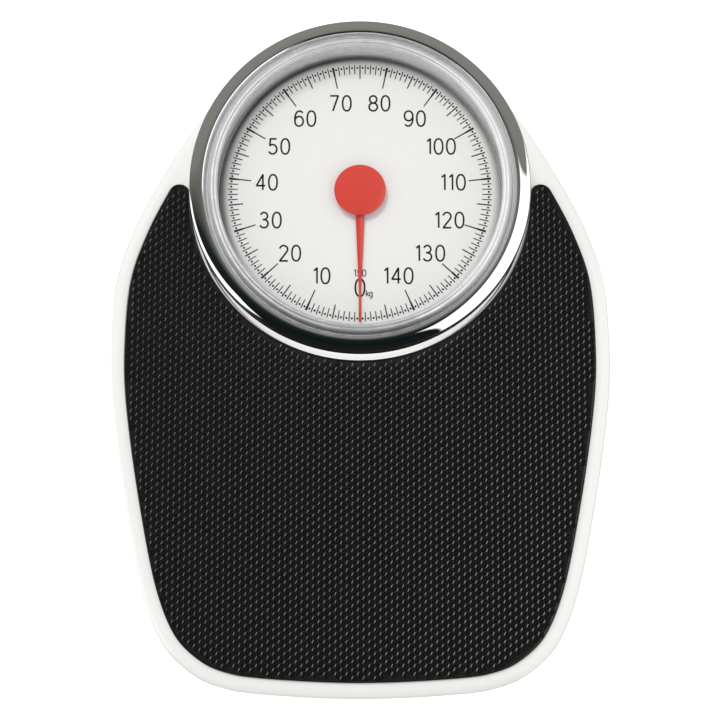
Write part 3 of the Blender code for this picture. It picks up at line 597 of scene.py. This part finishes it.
plate = {
    "halfWidth": coverHigh[0],
    "frontY": coverLow[1],
    "frontToDial": dialCentre[1] - coverLow[1],
    "backRadius": 111.5,
    "backShift": 2.0,
    "backTurn": 50,
    "top": coverHigh[2],
    "skirt": coverLow[2],
    "edgeRound": 7.0,
    "wall": 1.2,
    "hole": 106.5,
    "holeRound": 0.9,
    "flange": 4.0,
    "hem": ((1.2, 0.5), (0.9, 0.1), (0.6, 0), (0.3, 0.1), (0, 0.5)),  # distance inwards, height
}

# the right side from the front edge's middle, as shares of the half width and of the front-to-dial length
sideShares = np.array([
    (0.0, 0.0), (0.418, 0.0105), (0.513, 0.018), (0.620, 0.037), (0.722, 0.075), (0.781, 0.113),
    (0.846, 0.190), (0.918, 0.347), (0.991, 0.584), (1.0, 0.689), (0.979, 0.834), (0.915, 0.933),
    (0.817, 1.032), (0.696, 1.132),
])


def smoothCurve(points, steps):
    # centripetal Catmull-Rom curve through the inner points, all spans at once
    a, b, c, d = points[:-3], points[1:-2], points[2:-1], points[3:]
    ab, bc, cd = (np.sqrt(np.linalg.norm(q - p, axis=1))[:, None] for p, q in ((a, b), (b, c), (c, d)))
    leave = ((b - a) / ab - (c - a) / (ab + bc) + (c - b) / bc) * bc
    arrive = ((c - b) / bc - (d - b) / (bc + cd) + (d - c) / cd) * bc
    t = (np.arange(steps) / steps)[None, :, None]
    b, c, leave, arrive = b[:, None], c[:, None], leave[:, None], arrive[:, None]
    curve = b * (2 * t**3 - 3 * t**2 + 1) + leave * (t**3 - 2 * t**2 + t)
    curve = curve + c * (3 * t**2 - 2 * t**3) + arrive * (t**3 - t**2)
    return np.concatenate([curve.reshape(-1, 2), points[-2:-1]])


def inwards(outline):
    # unit vectors to the left of an anticlockwise outline
    along = np.roll(outline, -1, 0) - np.roll(outline, 1, 0)
    left = np.stack([-along[:, 1], along[:, 0]], -1)
    return left / np.linalg.norm(left, axis=1)[:, None]


def platformOutline(inset=0.0, steps=10):
    # the side's curve, then a round rim behind the dial, and the same again mirrored
    s = plate
    side = sideShares * (s["halfWidth"], s["frontToDial"]) + (0, s["frontY"])
    rim = ellipseArc(0, dialCentre[1] + s["backShift"], s["backRadius"], s["backRadius"],
                     90 - s["backTurn"], 90, 3 * steps)
    ahead = side[1] * (-1, 1)
    right = np.concatenate([smoothCurve(np.concatenate([[ahead], side, rim[:2]]), steps), rim[1:]])
    whole = np.concatenate([right, right[1:-1][::-1] * (-1, 1)])
    return whole + inwards(whole) * inset


def ringAt(flat, z):
    # an outline lifted to a height, which is one number or one for each point
    return np.concatenate([flat, np.broadcast_to(z, len(flat))[:, None]], 1)


def makeCover():
    # rings from the skirt's foot, over the rounded edge and the top, into the hole and back inside the wall
    s = plate
    outer = platformOutline()
    inward = inwards(outer)
    away = outer - dialCentre
    reach = np.linalg.norm(away, axis=1)
    room = np.minimum(s["edgeRound"], 0.7 * (reach - s["hole"] - s["wall"]))
    unit = away / reach[:, None]
    turns = np.linspace(0, math.pi / 2, 9)

    def edge(turn, wall):
        radius = np.maximum(room - wall, 0.1)
        move = wall + radius * (1 - math.cos(turn))
        return ringAt(outer + inward * move[:, None], s["top"] - wall - radius * (1 - math.sin(turn)))

    def hole(radius, z):
        return ringAt(dialCentre + unit * radius, z)

    top, soft, low, wall = s["top"], s["holeRound"], s["top"] - s["flange"], s["wall"]
    rings = [ringAt(outer + inward * step, s["skirt"] + z) for step, z in s["hem"]]
    rings += [edge(t, 0.0) for t in turns]
    rings += [hole(s["hole"] + soft * (1 - math.sin(t)), top - soft * (1 - math.cos(t))) for t in turns[::2]]
    rings += [hole(s["hole"], low), hole(s["hole"] + wall, low), hole(s["hole"] + wall, top - wall)]
    rings += [edge(t, wall) for t in turns[::-2]]
    faces = [gridFaces(len(rings), len(outer), wrapRows=True)]
    return pieceOf("platform_shell", np.array(rings), faces, "platform", "enamel", enamel, ["platform_cover"])


mat = {
    "border": 9.7,
    "tip": 7.2,
    "hole": 108.0,
    "closer": 1.8,  # how much nearer the housing the mat comes at the front
    "slabTop": matHigh[2] - 0.55,
    "cellWide": 6.93,
    "cellDeep": 4.84,
    "rim": 1.6,
    "rimSteps": ((0, 0.75), (0.2, 0.35), (0.6, 0.15), (1.1, 0.3)),  # distance inwards, depth below the top
    "rimFoot": 1.35,
    "leastStud": 0.6,  # how far past the rim a stud's middle is at least
    "studRings": ((2.72, -0.1), (1.95, 0.45), (1.70, 0.55)),  # half width at a corner, height over the slab
}


def matOutline():
    # inside the platform's outline by the border, round at both tips, and around the dial housing
    s = mat
    hollow = dialCentre
    edge, middles = platformOutline(s["border"]), platformOutline(s["border"] + s["tip"])
    reach = np.linalg.norm(middles - hollow, axis=1)
    wanted = s["hole"] + s["tip"]
    half = len(edge) // 2
    beyond = (edge[:half, 1] > plate["frontY"] + plate["frontToDial"] / 2) & (reach[:half] < wanted)
    end = int(np.argmax(beyond))
    share = (wanted - reach[end - 1]) / (reach[end] - reach[end - 1])
    tip = middles[end - 1] + (middles[end] - middles[end - 1]) * share
    out, back = edge[end] - middles[end], hollow - tip
    first, last = np.degrees(np.arctan2(out[1], out[0])), np.degrees(np.arctan2(back[1], back[0])) % 360
    right = np.concatenate([edge[:end], ellipseArc(*tip, s["tip"], s["tip"], first, last, 16)])
    front = np.degrees(np.arctan2(*(tip - hollow)[::-1]))
    around = ellipseArc(*hollow, s["hole"], s["hole"] - s["closer"], front, -90, 60)
    right = np.concatenate([right, around[1:]])
    return np.concatenate([right, right[1:-1][::-1] * (-1, 1)])


def depthInside(points, outline):
    # how far inside the outline each point is, negative outside, and its nearest place on the outline
    a, b = outline[None], np.roll(outline, -1, 0)[None]
    p = points[:, None]
    run = b - a
    share = np.clip(((p - a) * run).sum(-1) / (run ** 2).sum(-1), 0, 1)
    nearest = a + run * share[..., None]
    gap = np.linalg.norm(p - nearest, axis=-1)
    pick = gap.argmin(1)
    rows = np.arange(len(points))
    crossing = (a[..., 1] > p[..., 1]) != (b[..., 1] > p[..., 1])
    height = np.where(run[..., 1] == 0, 1, run[..., 1])
    left = p[..., 0] < a[..., 0] + run[..., 0] * (p[..., 1] - a[..., 1]) / height
    inside = (crossing & left).sum(1) % 2 == 1
    return np.where(inside, 1, -1) * gap[rows, pick], nearest[rows, pick]


def makeMat():
    # a slab with a low plain rim, and hexagonal studs on two lattices half a cell apart both ways;
    # a stud's corner that passes the rim is pulled back to it
    s = mat
    outline = matOutline()
    inward = inwards(outline)
    slab = s["slabTop"]
    steps = [(0, matLow[2])] + [(inset, matHigh[2] - down) for inset, down in s["rimSteps"]]
    steps.append((s["rimFoot"], slab))
    rings = np.array([ringAt(outline + inward * inset, z) for inset, z in steps])
    count = len(outline)
    faces = [gridFaces(len(rings), count)]
    faces.append(np.arange(count)[None, ::-1])
    faces.append(np.arange(count)[None] + count * (len(rings) - 1))
    points = rings.reshape(-1, 3)

    wide, deep = s["cellWide"], s["cellDeep"]
    front, reach = outline.min(0)[1], outline.max(0)
    columns = np.arange(-math.ceil(reach[0] / wide), math.ceil(reach[0] / wide) + 1) * wide
    rows = front + np.arange(0, math.ceil((reach[1] - front) / deep) + 1) * deep
    grid = np.stack(np.meshgrid(columns, rows), -1).reshape(-1, 2)
    centres = np.concatenate([grid, grid + (wide / 2, deep / 2)])
    depth, _ = depthInside(centres, outline)
    inside = depth > s["rim"] + s["leastStud"]
    centres, depth = centres[inside], depth[inside]

    corner = np.radians(np.arange(6) * 60)
    squeeze = wide / (deep * math.sqrt(3))
    shape = np.stack([np.cos(corner) * squeeze, np.sin(corner)], -1)
    sizes, heights = np.array(s["studRings"]).T
    flat = centres[:, None, None] + sizes[None, :, None, None] * shape[None, None]
    near = depth < s["rim"] + sizes[0]
    border = flat[near].reshape(-1, 2)
    within, nearest = depthInside(border, outline)
    inner = (border - nearest) * np.sign(within)[:, None]
    inner = inner / np.maximum(np.linalg.norm(inner, axis=1), 1e-6)[:, None]
    border = np.where((within < s["rim"])[:, None], nearest + inner * s["rim"], border)
    flat[near] = border.reshape(flat[near].shape)
    lift = np.broadcast_to(slab + heights[None, :, None, None], (*flat.shape[:3], 1))
    studs = np.concatenate([flat, lift], -1).reshape(-1, 3)
    each = np.arange(len(centres))[:, None, None] * 18 + len(points)
    faces.append((each + gridFaces(3, 6)[None]).reshape(-1, 4))
    faces.append((each[..., 0] + np.arange(6)[None, ::-1]).reshape(-1, 6))
    faces.append((each[..., 0] + np.arange(12, 18)[None]).reshape(-1, 6))
    print(f"tread mat has {len(centres)} studs")
    return pieceOf("tread_mat_studded", np.concatenate([points, studs]), faces, "platform", "rubber", rubber,
                   ["tread_mat"], sharp=20)


makeCover()
treadMat = makeMat()
print("platform is made")


head = {
    "outer": 105.5,
    "wall": 2.5,
    "low": housingLow[2],
    "rim": bezelLow[2],
    "gap": 0.3,
    "moulding": 0.5,  # rounding of the housing's corners
    "webLow": 46.5,
    "webTop": 48.9,
    "webHole": 76.0,
    "bezelInner": 97.3,
    "bezelTop": bezelHigh[2],
    "bezelWall": 1.2,
    "bezelBead": 1.3,
    "bezelSeat": 1.2,
    "bezelOver": 1.1,  # how far the bezel stands out past the housing
    "lensFlat": 88.3,
    "lensTop": span("dial_lens")[1][2],
    "lensWall": 2.0,
    "lensDrop": 3.0,  # height of the round shoulder
    "lensRidge": 0.10,
    "lensRidges": 8,
    "dialFlat": 84.5,
    "dialRadius": 90.0,
    "dialBore": 2.2,
    "dialFace": span("dial_plate")[1][2],
    "dialThick": 0.8,
}


def makeHousing():
    # an upright wall with a stepped rim for the bezel, and a web across it under the dial
    s = head
    inner, gap, rim = s["outer"] - s["wall"], s["gap"], s["rim"]
    corners = [
        (s["outer"], s["low"]), (s["outer"], rim - gap), (inner + 1.4, rim - gap), (inner + 1.4, rim + 3),
        (inner - 0.1, rim + 3), (inner - 0.1, rim + gap), (inner - 5, rim + gap), (inner - 5, rim - 1.5),
        (inner, rim - 6), (inner, s["webTop"]), (s["webHole"], s["webTop"]), (s["webHole"], s["webLow"]),
        (inner, s["webLow"]), (inner, s["low"]),
    ]
    profile = rounded(corners, s["moulding"], 3)
    return turnedPiece("dial_housing_shell", profile, "base", "housing", housingWhite, ["dial_housing"])


def makeBezel():
    # a quarter ellipse outside, rolled over at its inner edge, and inside it one smaller by the wall
    s = head
    crown = s["bezelInner"] + s["bezelBead"]
    base = s["rim"] + s["bezelSeat"]
    wide, tall = s["outer"] + s["bezelOver"] - crown, s["bezelTop"] - base
    lip = s["rim"] + 0.8 + s["lensWall"] + s["gap"]
    bead = [(crown, s["bezelTop"]), (s["bezelInner"] + 0.1, s["bezelTop"] - 0.1),
            (s["bezelInner"] - 0.4, s["bezelTop"] - 1.4), (s["bezelInner"] - 0.7, lip)]
    outside = [(crown + wide - 0.1, s["rim"])], ellipseArc(crown, base, wide, tall, 0, 90, 40)
    roll = rounded(bead, 0.9, 6, loop=False)[1:]
    wide, tall = wide - s["bezelWall"], tall - s["bezelWall"]
    inside = [(s["bezelInner"] + 0.5, lip), (s["bezelInner"] + 0.7, s["bezelTop"] - 2.2)]
    smaller = ellipseArc(crown, base, wide, tall, 90, 0, 16)
    profile = np.concatenate([*outside, roll, inside, smaller, [(crown + wide - 0.1, s["rim"])]])
    turnedPiece("bezel_ring", profile, "base", "bezel_chrome", chrome, ["chrome_bezel"], sides=360)


def makeLens():
    # a window with a round shoulder, a flange under the bezel, and a wall down around the dial;
    # the wall's fine ridges are a cosine of the height
    s = head
    shoulder = s["bezelInner"] - 2.3
    low, flange = s["rim"] + 0.6, s["outer"] - s["wall"] - 0.5
    foot = s["webTop"] + s["gap"]
    outerFoot, innerFoot = s["dialRadius"] + s["gap"] + s["lensWall"], s["dialRadius"] + s["gap"]
    flat, top, wall, drop = s["lensFlat"], s["lensTop"], s["lensWall"], s["lensDrop"]
    wide = shoulder - flat
    outside = [np.array([(0, top), (flat * 0.5, top)]), ellipseArc(flat, top - drop, wide, drop, 90, 0, 14)]
    lip = [(shoulder, top - drop), (shoulder, low + wall + 0.2), (flange, low + wall + 0.2), (flange, low),
           (shoulder - 0.2, low)]
    lip = rounded(lip, 0.4, 3, loop=False)[1:]
    heights = np.linspace(low, foot, 41)
    share = (low - heights) / (low - foot)
    ridges = s["lensRidge"] * np.cos(share * 2 * math.pi * s["lensRidges"]) - s["lensRidge"]
    outer = shoulder - 0.2 + (outerFoot - shoulder + 0.2) * share + ridges
    inner = shoulder - wall - 0.2 + (innerFoot - shoulder + wall + 0.2) * share
    walls = [np.stack([outer, heights], -1)[1:], np.stack([inner, heights], -1)[::-1]]
    under = [ellipseArc(flat, top - wall - 2, wide - wall, 2, 0, 90, 12),
             np.array([(flat * 0.5, top - wall), (0, top - wall)])]
    profile = np.concatenate([*outside, lip, *walls, *under])
    turnedPiece("dial_window", profile, "base", "lens", clearPlastic, ["dial_lens"], sides=300, loop=False,
                sharp=50)


def makeDial():
    # a flat disc whose border curves down
    s = head
    foot, bore = s["webTop"] + s["gap"], s["dialBore"]
    wide, tall = s["dialRadius"] - s["dialFlat"], s["dialFace"] - foot
    thick = s["dialThick"]
    outside = [np.array([(bore, s["dialFace"])]), ellipseArc(s["dialFlat"], foot, wide, tall, 90, 0, 16)]
    inside = ellipseArc(s["dialFlat"], foot, wide - thick, tall - thick, 0, 90, 12)
    profile = np.concatenate([*outside, inside, [(bore, s["dialFace"] - thick)]])
    turnedPiece("dial_face", profile, "base", "dial", dialCard, ["dial_plate"])


housingShell = makeHousing()
makeBezel()
makeLens()
makeDial()
print("dial head is made")


dialPrint = {
    "turn": 360 / 150,  # degrees for one kilogram, clockwise from the front
    "outer": 83.3,
    "one": 6.0,
    "five": 9.1,
    "ten": 14.1,
    "bold": 6.0,
    "thin": 0.70,
    "wide": 1.50,
    "dotRadius": 0.70,
    "dotPlace": 81.5,
    "film": 0.07,  # thickness of the ink
    "sunk": 0.02,  # how far it goes into the card
    "number": {"place": 59.3, "height": 9.9, "stroke": 1.12},
    "zero": {"place": 61.8, "height": 11.0, "stroke": 1.12},
    "full": {"place": 52.4, "height": 4.1, "stroke": 0.58},
    "unit": {"place": 65.4, "height": 3.9, "stroke": 0.58, "aside": 6.0},
}
inkHeights = head["dialFace"] - dialPrint["sunk"], head["dialFace"] + dialPrint["film"]


def onDial(angle, radius, sideways):
    # place on the dial: angle in degrees clockwise from the front, distance from the centre, and step across
    a = np.radians(angle)
    x = -np.sin(a) * radius + np.cos(a) * sideways
    y = -np.cos(a) * radius - np.sin(a) * sideways
    return np.stack(np.broadcast_arrays(x, y), -1) + dialCentre


def slabs(outlines):
    # prisms of the ink's thickness over flat outlines of one number of corners: array (count, corners, 2)
    count, corners = outlines.shape[:2]
    heights = np.array(inkHeights)[None, :, None, None]
    flat = np.broadcast_to(outlines[:, None], (count, 2, corners, 2))
    points = np.concatenate([flat, np.broadcast_to(heights, (count, 2, corners, 1))], -1).reshape(-1, 3)
    each = np.arange(count)[:, None, None] * 2 * corners
    sides = (each + gridFaces(2, corners)[None]).reshape(-1, 4)
    bottom = (each[..., 0] + np.arange(corners)[None, ::-1]).reshape(-1, corners)
    top = (each[..., 0] + np.arange(corners, 2 * corners)[None]).reshape(-1, corners)
    return points, [sides, bottom, top]


def joined(parts):
    # several (points, faces) pairs as one
    points, faces, start = [], [], 0
    for p, groups in parts:
        points.append(p)
        faces += [g + start for g in groups]
        start += len(p)
    return np.concatenate(points), faces


def bars(angle, inner, outer, innerWide, outerWide):
    # one bar along the radius at each angle
    angle = np.asarray(angle, float)
    ends = [(inner, -innerWide / 2), (inner, innerWide / 2), (outer, outerWide / 2), (outer, -outerWide / 2)]
    return slabs(np.stack([onDial(angle, r, across) for r, across in ends], 1))


def makeTicks():
    # a short bar for each kilogram, longer at fives, longest and bold outside at tens, and a dot at each half
    s = dialPrint
    value = np.arange(150)
    ones, fives, tens = value[value % 5 > 0], value[value % 10 == 5], value[value % 10 == 0]
    turn, outer, thin = s["turn"], s["outer"], s["thin"]
    parts = [
        bars(ones * turn, outer - s["one"], outer, thin * 0.8, thin),
        bars(fives * turn, outer - s["five"], outer, thin, thin * 1.25),
        bars(tens * turn, outer - s["ten"], outer - s["bold"] + 0.4, thin, thin * 1.2),
        bars(tens * turn, outer - s["bold"], outer, s["wide"] * 0.7, s["wide"]),
    ]
    corner = np.radians(np.arange(10) * 36)
    middle = onDial((value + 0.5) * turn, s["dotPlace"], 0)
    dots = middle[:, None] + s["dotRadius"] * np.stack([np.cos(corner), np.sin(corner)], -1)[None]
    parts.append(slabs(dots))
    pieceOf("dial_graduation", *joined(parts), "base", "dial", ink)


def oval(cx, cy, rx, ry, square=2.25, steps=40):
    # |x/rx|^n + |y/ry|^n = 1, closed
    t = np.linspace(0, 2 * math.pi, steps, endpoint=False)
    c, s = np.cos(t), np.sin(t)
    x = cx + rx * np.sign(c) * np.abs(c) ** (2 / square)
    y = cy + ry * np.sign(s) * np.abs(s) ** (2 / square)
    return np.stack([x, y], -1), True


def line(*points):
    return np.array(points, float), False


def bow(*arcs):
    # elliptic arcs one after another: centre, radii, start and end angle
    return np.concatenate([ellipseArc(*a, 12) for a in arcs]), False


# strokes of each character, on a height of 10
sixBow = bow((2.9, 5.2, 2.9, 4.8, 181, 90), (2.9, 7.7, 2.2, 2.3, 85, 25))
strokes = {
    "0": [oval(2.65, 5, 2.65, 5)],
    "1": [line((2.2, 0), (2.2, 10.3)), line((2.35, 10.1), (0.2, 8.3))],
    "2": [bow((2.6, 7.4, 2.5, 2.6, 168, -38)), line((4.6, 5.85), (0.1, -0.1)), line((-0.1, 0), (5.3, 0))],
    "3": [bow((2.4, 7.65, 2.25, 2.35, 160, -92)), bow((2.4, 2.65, 2.65, 2.65, 92, -158)),
          line((1.5, 5.3), (2.5, 5.3))],
    "4": [line((4.1, 0), (4.1, 10.3)), line((4.2, 10.2), (0, 2.7)), line((-0.2, 2.8), (5.6, 2.8))],
    "5": [line((4.9, 10), (0.8, 10)), line((1.0, 10.2), (0.7, 5.2)), bow((2.45, 3.15, 2.7, 3.15, 128, -152))],
    "6": [oval(2.65, 3.2, 2.65, 3.2, 2.1), sixBow, line((0, 5.4), (0, 3.1))],
    "7": [line((-0.1, 10), (5.3, 10)), line((5.05, 10.2), (1.6, -0.1))],
    "8": [oval(2.65, 7.6, 2.25, 2.4, 2.05), oval(2.65, 2.6, 2.65, 2.6, 2.05)],
    "k": [line((0, 0), (0, 10)), line((0, 3), (3.6, 6.6)), line((1.3, 4.2), (3.9, 0))],
    "g": [oval(2.2, 3.4, 2.2, 3.3, 2.1), line((4.4, 6.8), (4.4, -1.4)), bow((2.3, -1.3, 2.1, 1.8, 0, -150))],
}
strokes["9"] = [((5.3, 10) - points, closed) for points, closed in strokes["6"]]
advance = {"1": 4.9, "k": 5.0}  # step to the next character, where it isn't the usual one
usualAdvance, usualWide, narrowWide = 7.9, 5.3, 3.0


def ribbon(points, closed, width):
    # a stroke: its path moved to both sides by half the width, through the ink's thickness
    if closed:
        along = np.roll(points, -1, 0) - np.roll(points, 1, 0)
    else:
        along = np.gradient(points, axis=0)
    side = np.stack([-along[:, 1], along[:, 0]], -1)
    side = side / np.linalg.norm(side, axis=1)[:, None] * width / 2
    low, high = inkHeights
    corners = [ringAt(points + side, low), ringAt(points - side, low), ringAt(points - side, high),
               ringAt(points + side, high)]
    faces = [gridFaces(len(points), 4, wrapRows=closed)]
    if not closed:
        faces.append(np.array([[3, 2, 1, 0], [0, 1, 2, 3] + np.array(4 * (len(points) - 1))]))
    return np.stack(corners, 1).reshape(-1, 3), faces


def lettering(text, centre, style):
    # upright characters side by side about a centre
    size = style["height"] / 10
    steps = [advance.get(c, usualAdvance) for c in text]
    total = sum(steps) - steps[-1] + (narrowWide if text[-1] == "1" else usualWide)
    parts, x = [], -total / 2
    for c, step in zip(text, steps):
        for points, closed in strokes[c]:
            flat = (points + (x, -5)) * size + centre
            parts.append(ribbon(flat, closed, style["stroke"]))
        x += step
    return parts


def makeNumbers():
    s = dialPrint
    parts = []
    for value in range(10, 150, 10):
        parts += lettering(str(value), onDial(value * s["turn"], s["number"]["place"], 0), s["number"])
    parts += lettering("0", onDial(0, s["zero"]["place"], 0), s["zero"])
    parts += lettering("150", onDial(0, s["full"]["place"], 0), s["full"])
    parts += lettering("kg", onDial(0, s["unit"]["place"], 0) + (s["unit"]["aside"], 0), s["unit"])
    pieceOf("dial_numbers", *joined(parts), "base", "dial", ink)


makeTicks()
makeNumbers()
print("dial print is made")


needle = {
    "low": span("pointer_needle")[0][2],
    "thick": 1.7,
    "boss": 6.0,
    "bore": 1.8,
    "length": 84.0,
    "wide": 6.5,
    "taper": 0.085,  # width lost for each millimetre outwards
    "tip": 1.6,
    "start": 5.4,
}


def makeNeedle():
    # the width narrows in a straight line down to the tip's width; across it the top is a ridge
    s = needle
    place = np.linspace(s["start"], s["length"], 40)
    share = (place - s["start"]) / (s["length"] - s["start"])
    half = np.maximum(s["wide"] - s["taper"] * (place - s["start"]), s["tip"]) / 2
    ridge = s["thick"] * (1 - 0.45 * share)
    flank = s["thick"] * 0.15 * (1 - 0.3 * share)
    section = [(-half, 0 * half), (-half, flank), (-0.06 * half, ridge), (0.06 * half, ridge), (half, flank),
               (half, 0 * half)]
    rows = [np.stack([x, dialCentre[1] - place, s["low"] + z], -1) for x, z in section]
    blade = np.stack(rows, 1).reshape(-1, 3)
    count = len(section)
    last = count * (len(place) - 1)
    faces = [gridFaces(len(place), count), np.arange(count)[None, ::-1], np.arange(count)[None] + last]
    ring = rounded([(s["bore"], 0), (s["boss"], 0), (s["boss"], s["thick"]), (s["bore"], s["thick"])], 0.3, 3)
    boss = turned(ring + (0, s["low"]), 64).reshape(-1, 3)
    both = joined([(blade, faces), (boss, [gridFaces(len(ring), 64, wrapRows=True)])])
    pieceOf("needle_blade", *both, "pointer", "pointer", red, ["pointer_needle"], sharp=25)


hub = {"rim": 1.2, "rimDrop": 1.3, "dome": 0.9, "bore": 1.8, "overShaft": 0.3}


def makeHub():
    # a shallow dome, z = top - dome * u^2, with a rounded rim
    s = hub
    low, high = span("pointer_hub")
    radius, top, foot = high[0], high[2], low[2]
    u = np.linspace(0, 1, 12)
    upper = np.stack([u * (radius - s["rim"]), top - s["dome"] * u ** 2], -1)
    rim = [upper[-1], (radius, top - s["rimDrop"]), (radius, foot + 0.3), (radius - 0.4, foot)]
    socket = span("pinion_shaft")[1][2] + s["overShaft"]
    under = [(s["bore"], foot), (s["bore"], socket), (0, socket)]
    profile = np.concatenate([upper, rounded(rim, 0.9, 5, loop=False)[1:], under])
    turnedPiece("hub_cap", profile, "pointer", "pointer", red, ["pointer_hub"], sides=128, loop=False,
                sharp=50)


makeNeedle()
makeHub()
print("pointer is made")


trayLow, trayHigh = span("base_tray")
tray = {"inset": 3.2, "wall": 1.2, "lip": 0.3, "round": 3.0, "low": trayLow[2], "high": trayHigh[2]}


def makeTray():
    # a pressed tray: floor, rounded bottom edge, and an upright wall
    s = tray
    outer = platformOutline(s["inset"], 8)
    inward = inwards(outer)
    low, high, wall, soft = s["low"], s["high"], s["wall"], s["round"]
    turns = np.linspace(0, math.pi / 2, 6)
    steps = [(wall, high - s["lip"]), (wall / 2, high), (0, high - s["lip"])]
    steps += [(soft * (1 - math.cos(t)), low + soft * (1 - math.sin(t))) for t in turns]
    rings = [ringAt(outer + inward * inset, z) for inset, z in steps]
    inner = [(soft, low + wall), (wall + 0.5, low + soft), (wall, low + soft + 1)]
    inner = [ringAt(outer + inward * inset, z) for inset, z in inner]
    count = len(outer)
    points = np.array(rings + inner).reshape(-1, 3)
    outside, last = len(rings), len(rings) + len(inner)
    faces = [gridFaces(outside, count), gridFaces(len(inner), count) + outside * count]
    seam = np.stack([np.arange(count), (np.arange(count) + 1) % count], -1)
    faces.append(np.concatenate([seam + (last - 1) * count, seam[:, ::-1]], 1))
    faces.append(np.arange(count)[None] + (outside - 1) * count)
    faces.append(np.arange(count)[None] + outside * count)
    pieceOf("tray_pressing", points, faces, "base", "enamel", enamel, ["base_tray"])


def makeFeet():
    # a stepped rubber button with two grooves in its sole
    for number in range(1, 5):
        low, high = span(f"rubber_foot_{number}")
        centre, radius, top = (low[:2] + high[:2]) / 2, (high[0] - low[0]) / 2, high[2]
        corners = [(0, 0.5), (radius * 0.25, 0.5), (radius * 0.3, 0), (radius * 0.5, 0), (radius * 0.54, 0.5),
                   (radius * 0.62, 0.5), (radius * 0.66, 0), (radius - 1.6, 0), (radius, 1.7),
                   (radius - 1.5, top), (0, top)]
        profile = rounded(corners, 0.35, 3, loop=False)
        turnedPiece(f"foot_pad_{number}", profile, "base", "rubber", rubber, [f"rubber_foot_{number}"],
                    sides=72, loop=False, centre=centre)


makeTray()
makeFeet()
print("base is made")


# the finish of each CAD piece that stays; a name stands for all that differ from it only in their number
kept = [
    (steel, ["long_lever", "short_lever", "lever_link", "crank", "crank_pivot", "pinion_shaft", "main_spring",
             "spring_carrier", "zero_screw", "hair_spring_stud", "pillar_screw"]),
    (groundSteel, ["fulcrum_edge", "load_edge"]),
    (zinc, ["load_post", "fulcrum_bracket", "housing_pillar", "crank_bracket", "movement_bridge",
            "spring_bracket"]),
    (brass, ["shaft_bearing", "rack", "pinion", "spring_collet", "hair_spring"]),
    (nylon, ["rack_guide"]),
    (knobPlastic, ["zero_wheel"]),
]


def finishKept():
    for finish, names in kept:
        for node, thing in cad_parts.items():
            if node.rstrip("0123456789").rstrip("_") in names:
                thing.data.materials.clear()
                thing.data.materials.append(finish)


finishKept()
makeSun("key")
makeSun("mat_light", [treadMat])
makeSun("housing_light", [housingShell])
print("kept pieces are finished and the suns are up")
